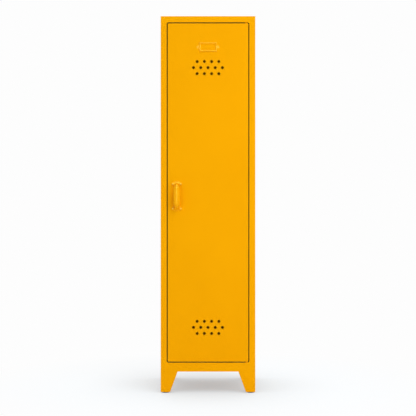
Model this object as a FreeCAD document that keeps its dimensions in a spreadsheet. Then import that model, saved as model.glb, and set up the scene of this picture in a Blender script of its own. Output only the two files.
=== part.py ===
import FreeCAD, Part
import math
import os
import Sketcher

# Single-door sheet-metal locker on four tapered legs, built piece by piece in millimetres.
# The origin is on the floor at the middle of the whole outline, handle included.
# The door faces -Y, +X is to the right of someone facing it, and +Z is up.

DIMENSIONS = {
    # Whole locker
    "overall_height": 1800,
    "body_width": 452,
    "body_depth": 450,
    "leg_height": 102,
    "body_sheet": 1.0,
    "bend_radius": 2.0,
    # Front frame round the door
    "stile_width": 29,
    "top_rail_height": 30,
    "bottom_rail_height": 43,
    "frame_return": 20,
    "stop_lip": 10,
    "opening_radius": 9,
    "opening_edge_radius": 1.2,
    # Casing panels
    "side_flange": 18,
    "top_flange": 20,
    "wall_hole_diameter": 8,
    "wall_hole_spacing": 300,
    "wall_hole_drop": 70,
    # Door skin and its vents
    "door_gap": 4,
    "door_sheet": 1.0,
    "door_depth": 22,
    "door_lip": 20,
    "door_edge_radius": 1.8,
    "vent_diameter": 12,
    "vent_pitch": 34.6,
    "vent_row_pitch": 29,
    "upper_vent_drop": 212,
    "lower_vent_rise": 164,
    # Stiffening channel inside the door
    "stiffener_width": 60,
    "stiffener_flange": 14,
    "stiffener_depth": 12,
    "stiffener_vent_distance": 80,
    # Hinge pins, bushes and pivot blocks
    "hinge_inset": 8,
    "hinge_setback": 8,
    "pin_diameter": 6,
    "pin_reach": 15,
    "pin_head_diameter": 8.5,
    "pin_head_height": 3,
    "running_clearance": 0.05,
    "fit_clearance": 0.02,
    "thrust_clearance": 0.2,
    "bush_wall": 1.0,
    "bush_length": 12,
    "bush_flange_diameter": 10,
    "bush_flange_thickness": 1.4,
    "pivot_block_length": 34,
    # Pull handle
    "handle_rise": 790,
    "handle_inset": 44,
    "handle_projection": 34,
    "handle_foot_spacing": 118,
    "handle_foot_width": 52,
    "handle_foot_height": 25,
    "handle_foot_thickness": 3.5,
    "handle_foot_bevel": 1.6,
    "grip_width": 30,
    "grip_thickness": 11,
    "neck_width": 13,
    "neck_thickness": 11,
    "handle_bend_radius": 20,
    "handle_screw_edge": 7,
    "handle_screw_diameter": 4,
    "handle_screw_head": 8,
    "handle_screw_head_height": 2.6,
    "handle_nut_height": 3.2,
    "handle_nut_width": 7,
    # Label holder
    "label_drop": 113.2,
    "label_width": 86,
    "label_height": 45.5,
    "label_strip": 8,
    "label_depth": 4,
    "label_slot": 1.2,
    "label_edge_radius": 1.8,
    "label_ear_width": 11,
    "label_ear_height": 13,
    "label_ear_thickness": 1.0,
    "rivet_diameter": 3.2,
    "rivet_head_diameter": 6.4,
    "rivet_head_height": 1.3,
    # Magnetic catch, strike plate and door buffers
    "catch_length": 46,
    "catch_width": 12,
    "catch_depth": 16,
    "catch_flange_thickness": 2.5,
    "catch_air_gap": 0.4,
    "magnet_length": 34,
    "magnet_width": 7,
    "magnet_depth": 10,
    "catch_screw_spacing": 32,
    "catch_screw_diameter": 3,
    "catch_screw_head": 5.6,
    "catch_screw_head_height": 1.8,
    "strike_length": 44,
    "strike_width": 16,
    "strike_thickness": 1.2,
    "buffer_diameter": 8,
    "buffer_thickness": 2.8,
    "buffer_clearance": 0.2,
    "buffer_end_distance": 70,
    # Hat shelf and its brackets
    "shelf_drop": 320,
    "shelf_flange": 22,
    "shelf_setback": 14,
    "shelf_side_gap": 1.5,
    "bracket_width": 20,
    "bracket_thickness": 1.5,
    "bracket_end_gap": 34,
    # Hanging rail and its sockets
    "rail_drop": 85,
    "rail_diameter": 18,
    "rail_wall": 1.2,
    "socket_flange_diameter": 42,
    "socket_flange_thickness": 2,
    "socket_wall": 2.5,
    "socket_depth": 14,
    # Legs, gussets and glides
    "leg_top_width": 81,
    "leg_foot_width": 45,
    "leg_sheet": 2,
    "foot_thickness": 7,
    "foot_edge_radius": 2.6,
    "glide_height": 4,
    "glide_diameter": 37,
    "glide_stem_diameter": 8,
    "gusset_margin": 3,
    "gusset_thickness": 3,
    "leg_bolt_near": 22,
    "leg_bolt_edge": 23,
    "leg_bolt_diameter": 8,
    "leg_bolt_head_width": 13,
    "leg_bolt_head_height": 5.3,
    "leg_nut_height": 6.5,
}

# Holes in one vent group, row by row
VENT_ROWS = (4, 5, 4)
# Straight segments that make up each bend of the handle
HANDLE_BEND_STEPS = 6
# Top radius of a domed head as a share of its seat radius
DOME_TAPER = 0.6
# Distance under which two points are taken as one
CLOSE = 1e-4

doc = FreeCAD.newDocument("locker")
dims = doc.addObject("Spreadsheet::Sheet", "dims")
for row, (alias, number) in enumerate(DIMENSIONS.items(), start=1):
    dims.set(f"A{row}", alias)
    dims.set(f"B{row}", str(number))
    dims.setAlias(f"B{row}", alias)
doc.recompute()

# Places that several pieces share, as expressions on the sheet
FRONT = "((dims.handle_projection - dims.body_depth) / 2)"
BACK = "((dims.handle_projection + dims.body_depth) / 2)"
HALF_WIDTH = "(dims.body_width / 2)"
INNER_HALF = f"({HALF_WIDTH} - dims.body_sheet)"
TOP = "dims.overall_height"
BASE = "dims.leg_height"
PANEL_FRONT = f"({FRONT} + dims.frame_return)"
BACK_PANEL_FRONT = f"({BACK} - 2 * dims.body_sheet)"
OPENING_HALF = f"({HALF_WIDTH} - dims.stile_width)"
OPENING_BOTTOM = "(dims.leg_height + dims.bottom_rail_height)"
OPENING_TOP = "(dims.overall_height - dims.top_rail_height)"
FLOOR_TOP = f"({OPENING_BOTTOM} - dims.body_sheet)"
DOOR_HALF = f"({OPENING_HALF} - dims.door_gap)"
DOOR_BOTTOM = f"({OPENING_BOTTOM} + dims.door_gap)"
DOOR_TOP = f"({OPENING_TOP} - dims.door_gap)"
DOOR_RADIUS = "(dims.opening_radius - dims.door_gap)"
DOOR_BACK = f"({FRONT} + dims.door_depth)"
DOOR_INSIDE = f"({FRONT} + dims.door_sheet)"
HINGE_X = f"({DOOR_HALF} - dims.hinge_inset)"
HINGE_Y = f"({FRONT} + dims.hinge_setback)"
PIN_RADIUS = "(dims.pin_diameter / 2)"
BUSH_BORE = f"({PIN_RADIUS} + dims.running_clearance)"
BUSH_RADIUS = f"({BUSH_BORE} + dims.bush_wall)"
BUSH_SEAT = f"({BUSH_RADIUS} + dims.fit_clearance)"
PIN_HOLE = "(dims.pin_diameter + 2 * dims.fit_clearance)"
UPPER_VENT = f"({DOOR_TOP} - dims.upper_vent_drop)"
LOWER_VENT = f"({DOOR_BOTTOM} + dims.lower_vent_rise)"
HANDLE_X = f"(dims.handle_inset - {DOOR_HALF})"
HANDLE_Z = f"({DOOR_BOTTOM} + dims.handle_rise)"
LABEL_Z = f"({DOOR_TOP} - dims.label_drop)"
LABEL_RIVET_X = "((dims.label_width + dims.label_ear_width) / 2)"
JAMB_DEPTH = "(dims.door_depth + dims.buffer_clearance + dims.buffer_thickness)"
STOP_FACE = f"({FRONT} + {JAMB_DEPTH})"
STOP_BACK = f"({STOP_FACE} + dims.body_sheet)"
STOP_EDGE = f"({OPENING_HALF} - dims.stop_lip)"
STOP_MIDDLE = f"({OPENING_HALF} - dims.stop_lip / 2)"
STRIKE_X = f"(dims.door_lip / 2 - {DOOR_HALF})"
SHELF_TOP = "(dims.overall_height - dims.shelf_drop)"
SHELF_FRONT = f"({STOP_BACK} + dims.shelf_setback)"
RAIL_Z = f"({SHELF_TOP} - dims.rail_drop)"
RAIL_Y = f"(({SHELF_FRONT} + {BACK_PANEL_FRONT}) / 2)"
SOCKET_BORE = "(dims.rail_diameter / 2 + dims.fit_clearance)"
UPPER_BUFFER = f"({DOOR_TOP} - dims.buffer_end_distance)"
LOWER_BUFFER = f"({DOOR_BOTTOM} + dims.buffer_end_distance)"

ALONG_X = FreeCAD.Rotation(FreeCAD.Vector(0, 1, 0), 90)
TOWARDS_FRONT = FreeCAD.Rotation(FreeCAD.Vector(1, 0, 0), 90)
TOWARDS_BACK = FreeCAD.Rotation(FreeCAD.Vector(1, 0, 0), -90)
UPWARDS = FreeCAD.Rotation()
DOWNWARDS = FreeCAD.Rotation(FreeCAD.Vector(1, 0, 0), 180)

finished = []


def size(expression):
    """Value of an expression on the sheet."""
    return float(dims.evalExpression(expression))


def keep(piece, label):
    """Name a finished sub-part and put it on the list that is written out."""
    piece.Label = label
    finished.append(piece)
    return piece


def place(piece, x, y, z, rotation=UPWARDS):
    """Put a piece at three coordinate expressions, turned by a fixed rotation."""
    piece.Placement = FreeCAD.Placement(FreeCAD.Vector(), rotation)
    for axis, expression in zip("xyz", (x, y, z)):
        piece.setExpression(f"Placement.Base.{axis}", expression)
    return piece


def primitive(kind, name, sizes, spot, rotation=UPWARDS):
    """Make one primitive whose properties follow expressions."""
    solid = doc.addObject(f"Part::{kind}", name)
    for prop, expression in sizes.items():
        solid.setExpression(prop, expression)
    return place(solid, *spot, rotation)


def box(name, spot, extent):
    """Box from its lowest corner and its three extents."""
    return primitive("Box", name, dict(zip(("Length", "Width", "Height"), extent)), spot)


def cylinder(name, radius, length, spot, rotation=UPWARDS):
    """Cylinder that runs from its spot along the turned Z axis."""
    return primitive("Cylinder", name, {"Radius": radius, "Height": length}, spot, rotation)


def hexagon(name, across_flats, length, spot, rotation=UPWARDS):
    """Hexagonal prism given by its width across flats."""
    sizes = {"Circumradius": f"{across_flats} / 2 / cos(30 deg)", "Height": length}
    prism = primitive("Prism", name, sizes, spot, rotation)
    prism.Polygon = 6
    return prism


def dome(name, radius, length, spot, rotation):
    """Low domed head, drawn as a frustum on its seat."""
    sizes = {"Radius1": radius, "Radius2": f"{radius} * {DOME_TAPER}", "Height": length}
    return primitive("Cone", name, sizes, spot, rotation)


def fuse(name, pieces):
    """Join overlapping or touching pieces into one solid."""
    joined = doc.addObject("Part::MultiFuse", name)
    joined.Shapes = pieces
    joined.Refine = True
    return joined


def cut(name, base, tools):
    """Take tools away from a base."""
    left = doc.addObject("Part::Cut", name)
    left.Base = base
    left.Tool = tools[0] if len(tools) == 1 else group(f"{name}_tools", tools)
    return left


def group(name, members):
    """Hold separate solids together as one sub-part."""
    compound = doc.addObject("Part::Compound", name)
    compound.Links = members
    return compound


def new_body(label, x="0", y="0", z="0", rotation=UPWARDS):
    """Empty body for a piece that is drawn feature by feature."""
    body = doc.addObject("PartDesign::Body", label)
    place(body, x, y, z, rotation)
    return keep(body, label)


def sketch_on(body, role, name, offset="0"):
    """Sketch on one of a body's own origin planes, moved along that plane's normal."""
    sketch = body.newObject("Sketcher::SketchObject", f"{body.Name}_{name}")
    plane = next(feature for feature in body.Origin.OriginFeatures if feature.Role == role)
    sketch.AttachmentSupport = [(plane, "")]
    sketch.MapMode = "FlatFace"
    sketch.setExpression("AttachmentOffset.Base.z", offset)
    return sketch


def front_sketch(body, name, depth="0"):
    """Sketch facing the front, a given depth behind the body's own front plane."""
    return sketch_on(body, "XZ_Plane", name, f"-({depth})")


def bind(sketch, constraint, expression):
    """Add a dimension to a sketch and tie it to an expression."""
    index = sketch.addConstraint(constraint)
    label = f"size_{index}"
    sketch.renameConstraint(index, label)
    sketch.setExpression(f"Constraints.{label}", expression)


def pin_point(sketch, geometry, position, x, y):
    """Tie a point of a sketch to two coordinate expressions."""
    for kind, expression in (("DistanceX", x), ("DistanceY", y)):
        rule = Sketcher.Constraint(kind, -1, 1, geometry, position, size(expression))
        bind(sketch, rule, expression)


def spot_of(x, y):
    """Starting point of sketch geometry."""
    return FreeCAD.Vector(size(x), size(y), 0)


def polygon(sketch, corners):
    """Closed outline through corners given as pairs of expressions."""
    spots = [spot_of(*corner) for corner in corners]
    first = sketch.GeometryCount
    for start, end in zip(spots, spots[1:] + spots[:1]):
        sketch.addGeometry(Part.LineSegment(start, end), False)
    for step, corner in enumerate(corners):
        before = first + (step - 1) % len(corners)
        sketch.addConstraint(Sketcher.Constraint("Coincident", before, 2, first + step, 1))
        pin_point(sketch, first + step, 1, *corner)


def rectangle(sketch, left, right, bottom, top):
    """Outline of a rectangle with square corners."""
    polygon(sketch, [(left, bottom), (right, bottom), (right, top), (left, top)])


def rounded_rectangle(sketch, left, right, bottom, top, radius):
    """Outline of a rectangle with four equal corner arcs."""
    inner_left, inner_right = f"{left} + {radius}", f"{right} - {radius}"
    inner_bottom, inner_top = f"{bottom} + {radius}", f"{top} - {radius}"
    sides = [
        ((inner_left, bottom), (inner_right, bottom)),
        ((right, inner_bottom), (right, inner_top)),
        ((inner_right, top), (inner_left, top)),
        ((left, inner_top), (left, inner_bottom)),
    ]
    centres = [(inner_right, inner_bottom), (inner_right, inner_top),
               (inner_left, inner_top), (inner_left, inner_bottom)]
    first = sketch.GeometryCount
    for start, end in sides:
        sketch.addGeometry(Part.LineSegment(spot_of(*start), spot_of(*end)), False)
    for step, centre in enumerate(centres):
        ring = Part.Circle(spot_of(*centre), FreeCAD.Vector(0, 0, 1), size(radius))
        sketch.addGeometry(Part.ArcOfCircle(ring, (step - 1) * math.pi / 2, step * math.pi / 2), False)
    for step, (start, end) in enumerate(sides):
        pin_point(sketch, first + step, 1, *start)
        pin_point(sketch, first + step, 2, *end)
        arc = first + 4 + step
        sketch.addConstraint(Sketcher.Constraint("Coincident", arc, 1, first + step, 2))
        sketch.addConstraint(Sketcher.Constraint("Coincident", arc, 2, first + (step + 1) % 4, 1))
        centre_x = centres[step][0]
        bind(sketch, Sketcher.Constraint("DistanceX", -1, 1, arc, 3, size(centre_x)), centre_x)


def circle(sketch, x, y, diameter):
    """Circle at two coordinate expressions."""
    ring = Part.Circle(spot_of(x, y), FreeCAD.Vector(0, 0, 1), size(diameter) / 2)
    index = sketch.addGeometry(ring, False)
    pin_point(sketch, index, 3, x, y)
    bind(sketch, Sketcher.Constraint("Diameter", index, size(diameter)), diameter)


def extrude(body, kind, sketch, length, backwards=False):
    """Pad or pocket a sketch; backwards turns the feature to the plane's other side."""
    feature = body.newObject(f"PartDesign::{kind}", f"{sketch.Name}_{kind}")
    feature.Profile = sketch
    feature.setExpression("Length", length)
    feature.Reversed = backwards
    sketch.Visibility = False
    return feature


def pad_back(body, sketch, length):
    """Pad a front-facing sketch towards the back."""
    return extrude(body, "Pad", sketch, length, backwards=True)


def pocket_back(body, sketch, length):
    """Pocket a front-facing sketch towards the back."""
    return extrude(body, "Pocket", sketch, length)


def round_edges(body, name, radius, chosen):
    """Fillet the edges of a body's last feature that pass a test on their end points."""
    doc.recompute()
    base = body.Tip
    names = []
    for number, edge in enumerate(base.Shape.Edges, start=1):
        ends = [vertex.Point for vertex in edge.Vertexes]
        if chosen(ends):
            names.append(f"Edge{number}")
    fillet = body.newObject("PartDesign::Fillet", f"{body.Name}_{name}")
    fillet.Base = (base, names)
    fillet.setExpression("Radius", radius)


def near(value, target):
    """Whether two coordinates are the same place."""
    return abs(value - target) < CLOSE


def folded_tray(label, half_width, front, back, top, flange):
    """Body sheet with its four edges folded down; returned for further holes."""
    body = new_body(label)
    plan = sketch_on(body, "XY_Plane", "plan", top)
    rectangle(plan, f"-{half_width}", half_width, front, back)
    extrude(body, "Pad", plan, flange, backwards=True)
    hollow = sketch_on(body, "XY_Plane", "hollow", f"{top} - {flange}")
    rectangle(hollow, f"dims.body_sheet - {half_width}", f"{half_width} - dims.body_sheet",
              f"{front} + dims.body_sheet", f"{back} - dims.body_sheet")
    extrude(body, "Pocket", hollow, f"{flange} - dims.body_sheet", backwards=True)
    return body


# Front frame: one pressed sheet with a return along its sides and top, a jamb round the
# door opening and a lip at the back of the jamb that the door closes against.
frame = new_body("front_frame", y=FRONT)
face = front_sketch(frame, "face")
rectangle(face, f"-{HALF_WIDTH}", HALF_WIDTH, BASE, TOP)
pad_back(frame, face, "dims.frame_return")
hollow = front_sketch(frame, "hollow", "dims.body_sheet")
rectangle(hollow, f"-{INNER_HALF}", INNER_HALF, BASE, f"{TOP} - dims.body_sheet")
pocket_back(frame, hollow, "dims.frame_return - dims.body_sheet")
opening = front_sketch(frame, "opening")
rounded_rectangle(opening, f"-{OPENING_HALF}", OPENING_HALF, OPENING_BOTTOM, OPENING_TOP,
                  "dims.opening_radius")
pocket_back(frame, opening, "dims.body_sheet")
jamb = front_sketch(frame, "jamb")
rounded_rectangle(jamb, f"-{OPENING_HALF}", OPENING_HALF, OPENING_BOTTOM, OPENING_TOP,
                  "dims.opening_radius")
rounded_rectangle(jamb, f"-({OPENING_HALF} + dims.body_sheet)", f"({OPENING_HALF} + dims.body_sheet)",
                  FLOOR_TOP, f"({OPENING_TOP} + dims.body_sheet)",
                  "(dims.opening_radius + dims.body_sheet)")
pad_back(frame, jamb, f"{JAMB_DEPTH} + dims.body_sheet")
lip = front_sketch(frame, "lip", JAMB_DEPTH)
lip_half = f"({OPENING_HALF} + dims.body_sheet / 2)"
rounded_rectangle(lip, f"-{lip_half}", lip_half, f"({OPENING_BOTTOM} - dims.body_sheet / 2)",
                  f"({OPENING_TOP} + dims.body_sheet / 2)", "(dims.opening_radius + dims.body_sheet / 2)")
rectangle(lip, f"-{STOP_EDGE}", STOP_EDGE, f"{OPENING_BOTTOM} + dims.stop_lip",
          f"{OPENING_TOP} - dims.stop_lip")
pad_back(frame, lip, "dims.body_sheet")
upper_pin_hole = sketch_on(frame, "XY_Plane", "upper_pin_hole", OPENING_TOP)
circle(upper_pin_hole, HINGE_X, "dims.hinge_setback", PIN_HOLE)
extrude(frame, "Pocket", upper_pin_hole, "dims.body_sheet", backwards=True)
lower_pin_hole = sketch_on(frame, "XY_Plane", "lower_pin_hole", OPENING_BOTTOM)
circle(lower_pin_hole, HINGE_X, "dims.hinge_setback", PIN_HOLE)
extrude(frame, "Pocket", lower_pin_hole, "dims.body_sheet")
catch_holes = front_sketch(frame, "catch_holes", JAMB_DEPTH)
for side in (-1, 1):
    circle(catch_holes, f"-{STOP_MIDDLE}", f"{HANDLE_Z} + {side} * dims.catch_screw_spacing / 2",
           "dims.catch_screw_diameter + 2 * dims.fit_clearance")
pocket_back(frame, catch_holes, "dims.body_sheet")


def on_outer_bend(ends):
    """Edge along the frame's left, right or top front corner."""
    at_side = near(abs(sum(point.x for point in ends)), 2 * size(HALF_WIDTH))
    at_top = all(near(point.z, size(TOP)) for point in ends)
    return all(near(point.y, 0) for point in ends) and (at_side or at_top)


def on_opening_edge(ends):
    """Edge of the door opening in the frame's front face."""
    reach, low, high = size(OPENING_HALF), size(OPENING_BOTTOM), size(OPENING_TOP)
    inside = all(abs(point.x) < reach + CLOSE and low - CLOSE < point.z < high + CLOSE for point in ends)
    return inside and all(near(point.y, 0) for point in ends)


round_edges(frame, "outer_bend", "dims.bend_radius", on_outer_bend)
round_edges(frame, "opening_edge", "dims.opening_edge_radius", on_opening_edge)


# Side panels: flat sheet behind the frame's return, folded in along the rear edge.
def on_rear_bend(ends):
    """Upright edge at an outer rear corner of the casing."""
    return all(near(abs(point.x), size(HALF_WIDTH)) and near(point.y, size(BACK)) for point in ends)


for label, side in (("left_side_panel", "-1"), ("right_side_panel", "1")):
    panel = new_body(label)
    plan = sketch_on(panel, "XY_Plane", "plan", BASE)
    outer, inner = f"{side} * {HALF_WIDTH}", f"{side} * {INNER_HALF}"
    flange = f"{side} * ({HALF_WIDTH} - dims.side_flange)"
    rear_inside = f"{BACK} - dims.body_sheet"
    polygon(plan, [(outer, PANEL_FRONT), (outer, BACK), (flange, BACK), (flange, rear_inside),
                   (inner, rear_inside), (inner, PANEL_FRONT)])
    extrude(panel, "Pad", plan, f"{TOP} - {BASE}")
    round_edges(panel, "rear_bend", "dims.bend_radius", on_rear_bend)

# Back panel: flat sheet welded to the front of the rear flanges, with two wall-fixing holes.
back_panel = new_body("back_panel", y=BACK_PANEL_FRONT)
outline = front_sketch(back_panel, "outline")
rectangle(outline, f"-{INNER_HALF}", INNER_HALF, BASE, TOP)
for side in (-1, 1):
    circle(outline, f"{side} * dims.wall_hole_spacing / 2", f"{TOP} - dims.wall_hole_drop",
           "dims.wall_hole_diameter")
pad_back(back_panel, outline, "dims.body_sheet")

# Top panel: shallow tray between the sides, flush with the frame's top return.
folded_tray("top_panel", INNER_HALF, PANEL_FRONT, BACK_PANEL_FRONT, TOP, "dims.top_flange")

# Floor panel: deep tray under the jamb's lower flange, as tall as the bottom rail.
floor = folded_tray("floor_panel", INNER_HALF, f"({FRONT} + dims.body_sheet)", BACK_PANEL_FRONT, FLOOR_TOP,
                    "(dims.bottom_rail_height - dims.body_sheet)")
floor_pin_hole = sketch_on(floor, "XY_Plane", "pin_hole", FLOOR_TOP)
circle(floor_pin_hole, HINGE_X, HINGE_Y, PIN_HOLE)
extrude(floor, "Pocket", floor_pin_hole, "dims.body_sheet")

# Legs: tapered angle sections with a bolted top plate and a thick foot plate, each standing
# in its own corner, with the gusset that it bolts to, its glide and its two bolts and nuts.
LEG_SHEET_HEIGHT = "(dims.leg_height - dims.glide_height)"
LEG_TAPER = f"((dims.leg_top_width - dims.leg_foot_width) / {LEG_SHEET_HEIGHT})"
# Heights on the leg, each with how far its outline is drawn in; the foot's edge is rounded in two steps
LEG_LEVELS = (
    ("0", "dims.foot_edge_radius"),
    ("dims.foot_edge_radius * (1 - cos(45 deg))", "dims.foot_edge_radius * (1 - sin(45 deg))"),
    ("dims.foot_edge_radius", "0"),
    (LEG_SHEET_HEIGHT, "0"),
)
FOOT_CENTRE = "(dims.leg_foot_width / 2)"
BOLT_FAR = "(dims.leg_top_width - dims.leg_bolt_edge)"
BOLT_SPOTS = (("dims.leg_bolt_near", BOLT_FAR), (BOLT_FAR, "dims.leg_bolt_near"))
BOLT_HOLE = "(dims.leg_bolt_diameter + 2 * dims.fit_clearance)"
GUSSET_SIZE = "(dims.leg_top_width - 2 * dims.body_sheet - dims.gusset_margin)"
CORNERS = {
    "front_left": ("-1", "1", FRONT, 0, "2 * dims.body_sheet"),
    "front_right": ("1", "1", FRONT, 90, "2 * dims.body_sheet"),
    "rear_right": ("1", "-1", BACK, 180, "3 * dims.body_sheet"),
    "rear_left": ("-1", "-1", BACK, 270, "3 * dims.body_sheet"),
}
leg_bolts, leg_nuts = [], []
for corner, (side_x, side_y, corner_y, turn, gusset_y) in CORNERS.items():
    corner_x = f"{side_x} * {HALF_WIDTH}"
    leg = new_body(f"{corner}_leg", corner_x, corner_y, "dims.glide_height",
                   FreeCAD.Rotation(FreeCAD.Vector(0, 0, 1), turn))
    sections = []
    for step, (height, inset) in enumerate(LEG_LEVELS):
        section = sketch_on(leg, "XY_Plane", f"section_{step}", height)
        reach = f"(dims.leg_foot_width + {LEG_TAPER} * {height} - {inset})"
        rounded_rectangle(section, inset, reach, inset, reach, "dims.bend_radius")
        sections.append(section)
    block = leg.newObject("PartDesign::AdditiveLoft", f"{corner}_leg_block")
    block.Profile = sections[0]
    block.Sections = sections[1:]
    block.Ruled = True
    inside = sketch_on(leg, "XY_Plane", "inside", "dims.foot_thickness")
    rectangle(inside, "dims.leg_sheet", "dims.leg_top_width", "dims.leg_sheet", "dims.leg_top_width")
    extrude(leg, "Pocket", inside, f"{LEG_SHEET_HEIGHT} - dims.leg_sheet - dims.foot_thickness",
            backwards=True)
    bolt_holes = sketch_on(leg, "XY_Plane", "bolt_holes", LEG_SHEET_HEIGHT)
    for spot in BOLT_SPOTS:
        circle(bolt_holes, *spot, BOLT_HOLE)
    extrude(leg, "Pocket", bolt_holes, "dims.leg_sheet")
    stem_hole = sketch_on(leg, "XY_Plane", "stem_hole")
    circle(stem_hole, FOOT_CENTRE, FOOT_CENTRE, "dims.glide_stem_diameter + 2 * dims.fit_clearance")
    extrude(leg, "Pocket", stem_hole, "dims.foot_thickness", backwards=True)

    glide_x = f"{side_x} * ({HALF_WIDTH} - {FOOT_CENTRE})"
    glide_y = f"{corner_y} + {side_y} * {FOOT_CENTRE}"
    pad_disc = cylinder(f"{corner}_glide_disc", "dims.glide_diameter / 2", "dims.glide_height",
                        (glide_x, glide_y, "0"))
    stem = cylinder(f"{corner}_glide_stem", "dims.glide_stem_diameter / 2",
                    "dims.foot_thickness + dims.glide_height", (glide_x, glide_y, "0"))
    keep(fuse(f"{corner}_glide_body", [pad_disc, stem]), f"{corner}_glide")

    near_x = f"({HALF_WIDTH} - 2 * dims.body_sheet)"
    gusset = new_body(f"{corner}_gusset")
    gusset_plan = sketch_on(gusset, "XY_Plane", "plan", BASE)
    gusset_near_x = f"{side_x} * {near_x}"
    gusset_far_x = f"{side_x} * ({near_x} - {GUSSET_SIZE})"
    gusset_mid_x = f"{side_x} * ({near_x} - {GUSSET_SIZE} / 2)"
    gusset_near_y = f"{corner_y} + {side_y} * {gusset_y}"
    gusset_mid_y = f"{gusset_near_y} + {side_y} * {GUSSET_SIZE} / 2"
    gusset_far_y = f"{gusset_near_y} + {side_y} * {GUSSET_SIZE}"
    polygon(gusset_plan, [(gusset_near_x, gusset_near_y), (gusset_far_x, gusset_near_y),
                          (gusset_far_x, gusset_mid_y), (gusset_mid_x, gusset_far_y),
                          (gusset_near_x, gusset_far_y)])
    for in_x, in_y in BOLT_SPOTS:
        bolt_x = f"{side_x} * ({HALF_WIDTH} - {in_x})"
        bolt_y = f"{corner_y} + {side_y} * {in_y}"
        circle(gusset_plan, bolt_x, bolt_y, BOLT_HOLE)
        tag = f"{corner}_bolt_{len(leg_bolts)}"
        plate_under = f"{BASE} - dims.leg_sheet"
        gusset_over = f"{BASE} + dims.gusset_thickness"
        head = hexagon(f"{tag}_head", "dims.leg_bolt_head_width", "dims.leg_bolt_head_height",
                       (bolt_x, bolt_y, plate_under), DOWNWARDS)
        shank = cylinder(f"{tag}_shank", "dims.leg_bolt_diameter / 2",
                         "dims.leg_sheet + dims.gusset_thickness + dims.leg_nut_height",
                         (bolt_x, bolt_y, plate_under))
        leg_bolts.append(fuse(tag, [head, shank]))
        nut = hexagon(f"{tag}_nut_blank", "dims.leg_bolt_head_width", "dims.leg_nut_height",
                      (bolt_x, bolt_y, gusset_over))
        thread = cylinder(f"{tag}_nut_bore", f"{BOLT_HOLE} / 2", "dims.leg_nut_height",
                          (bolt_x, bolt_y, gusset_over))
        leg_nuts.append(cut(f"{tag}_nut", nut, [thread]))
    extrude(gusset, "Pad", gusset_plan, "dims.gusset_thickness")
keep(group("leg_bolt_set", leg_bolts), "leg_bolts")
keep(group("leg_nut_set", leg_nuts), "leg_nuts")

# Hat shelf: folded tray resting on two angle brackets that are welded to the sides.
folded_tray("hat_shelf", f"({INNER_HALF} - dims.shelf_side_gap)", SHELF_FRONT, BACK_PANEL_FRONT, SHELF_TOP,
            "dims.shelf_flange")
for label, side in (("left_shelf_bracket", "-1"), ("right_shelf_bracket", "1")):
    bracket = new_body(label, y=f"{SHELF_FRONT} + dims.bracket_end_gap", z=f"{SHELF_TOP} - dims.shelf_flange")
    section = front_sketch(bracket, "section")
    wall = f"{side} * {INNER_HALF}"
    wall_inside = f"{side} * ({INNER_HALF} - dims.bracket_thickness)"
    ledge_end = f"{side} * ({INNER_HALF} - dims.bracket_width)"
    polygon(section, [(wall, "0"), (ledge_end, "0"), (ledge_end, "-dims.bracket_thickness"),
                      (wall_inside, "-dims.bracket_thickness"), (wall_inside, "-dims.bracket_width"),
                      (wall, "-dims.bracket_width")])
    pad_back(bracket, section, f"{BACK_PANEL_FRONT} - {SHELF_FRONT} - 2 * dims.bracket_end_gap")

# Hanging rail: steel tube whose ends sit in two flanged cups on the sides.
rail_end = f"({INNER_HALF} - dims.socket_flange_thickness)"
tube = cylinder("rail_tube", "dims.rail_diameter / 2", f"2 * {rail_end}",
                (f"-{rail_end}", RAIL_Y, RAIL_Z), ALONG_X)
tube_bore = cylinder("rail_bore", "dims.rail_diameter / 2 - dims.rail_wall", f"2 * {rail_end}",
                     (f"-{rail_end}", RAIL_Y, RAIL_Z), ALONG_X)
keep(cut("rail_cut", tube, [tube_bore]), "hanging_rail")
SOCKETS = {
    "left_rail_socket": (f"-{INNER_HALF}", f"-{rail_end}"),
    "right_rail_socket": (rail_end, f"{rail_end} - dims.socket_depth"),
}
for label, (flange_x, cup_x) in SOCKETS.items():
    flange_disc = cylinder(f"{label}_flange", "dims.socket_flange_diameter / 2",
                           "dims.socket_flange_thickness", (flange_x, RAIL_Y, RAIL_Z), ALONG_X)
    cup = cylinder(f"{label}_cup", f"{SOCKET_BORE} + dims.socket_wall", "dims.socket_depth",
                   (cup_x, RAIL_Y, RAIL_Z), ALONG_X)
    cup_bore = cylinder(f"{label}_bore", SOCKET_BORE, "dims.socket_depth", (cup_x, RAIL_Y, RAIL_Z), ALONG_X)
    ring = cut(f"{label}_ring", cup, [cup_bore])
    keep(fuse(f"{label}_joined", [flange_disc, ring]), label)

# Hinge pins: headed studs fixed in the jamb's upper and lower flanges; the lower one has a
# collar that carries the door.
shank_length = "dims.body_sheet + dims.door_gap + dims.pin_reach"
upper_head = cylinder("upper_pin_head", "dims.pin_head_diameter / 2", "dims.pin_head_height",
                      (HINGE_X, HINGE_Y, f"{OPENING_TOP} + dims.body_sheet"))
upper_shank = cylinder("upper_pin_shank", PIN_RADIUS, shank_length,
                       (HINGE_X, HINGE_Y, f"{OPENING_TOP} + dims.body_sheet"), DOWNWARDS)
keep(fuse("upper_pin", [upper_head, upper_shank]), "upper_hinge_pin")
floor_under = f"{FLOOR_TOP} - dims.body_sheet"
lower_head = cylinder("lower_pin_head", "dims.pin_head_diameter / 2", "dims.pin_head_height",
                      (HINGE_X, HINGE_Y, floor_under), DOWNWARDS)
lower_shank = cylinder("lower_pin_shank", PIN_RADIUS, f"dims.body_sheet + {shank_length}",
                       (HINGE_X, HINGE_Y, floor_under))
lower_collar = cylinder("lower_pin_collar", "dims.pin_head_diameter / 2",
                        "dims.door_gap - dims.bush_flange_thickness - dims.thrust_clearance",
                        (HINGE_X, HINGE_Y, OPENING_BOTTOM))
keep(fuse("lower_pin", [lower_head, lower_shank, lower_collar]), "lower_hinge_pin")

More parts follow.
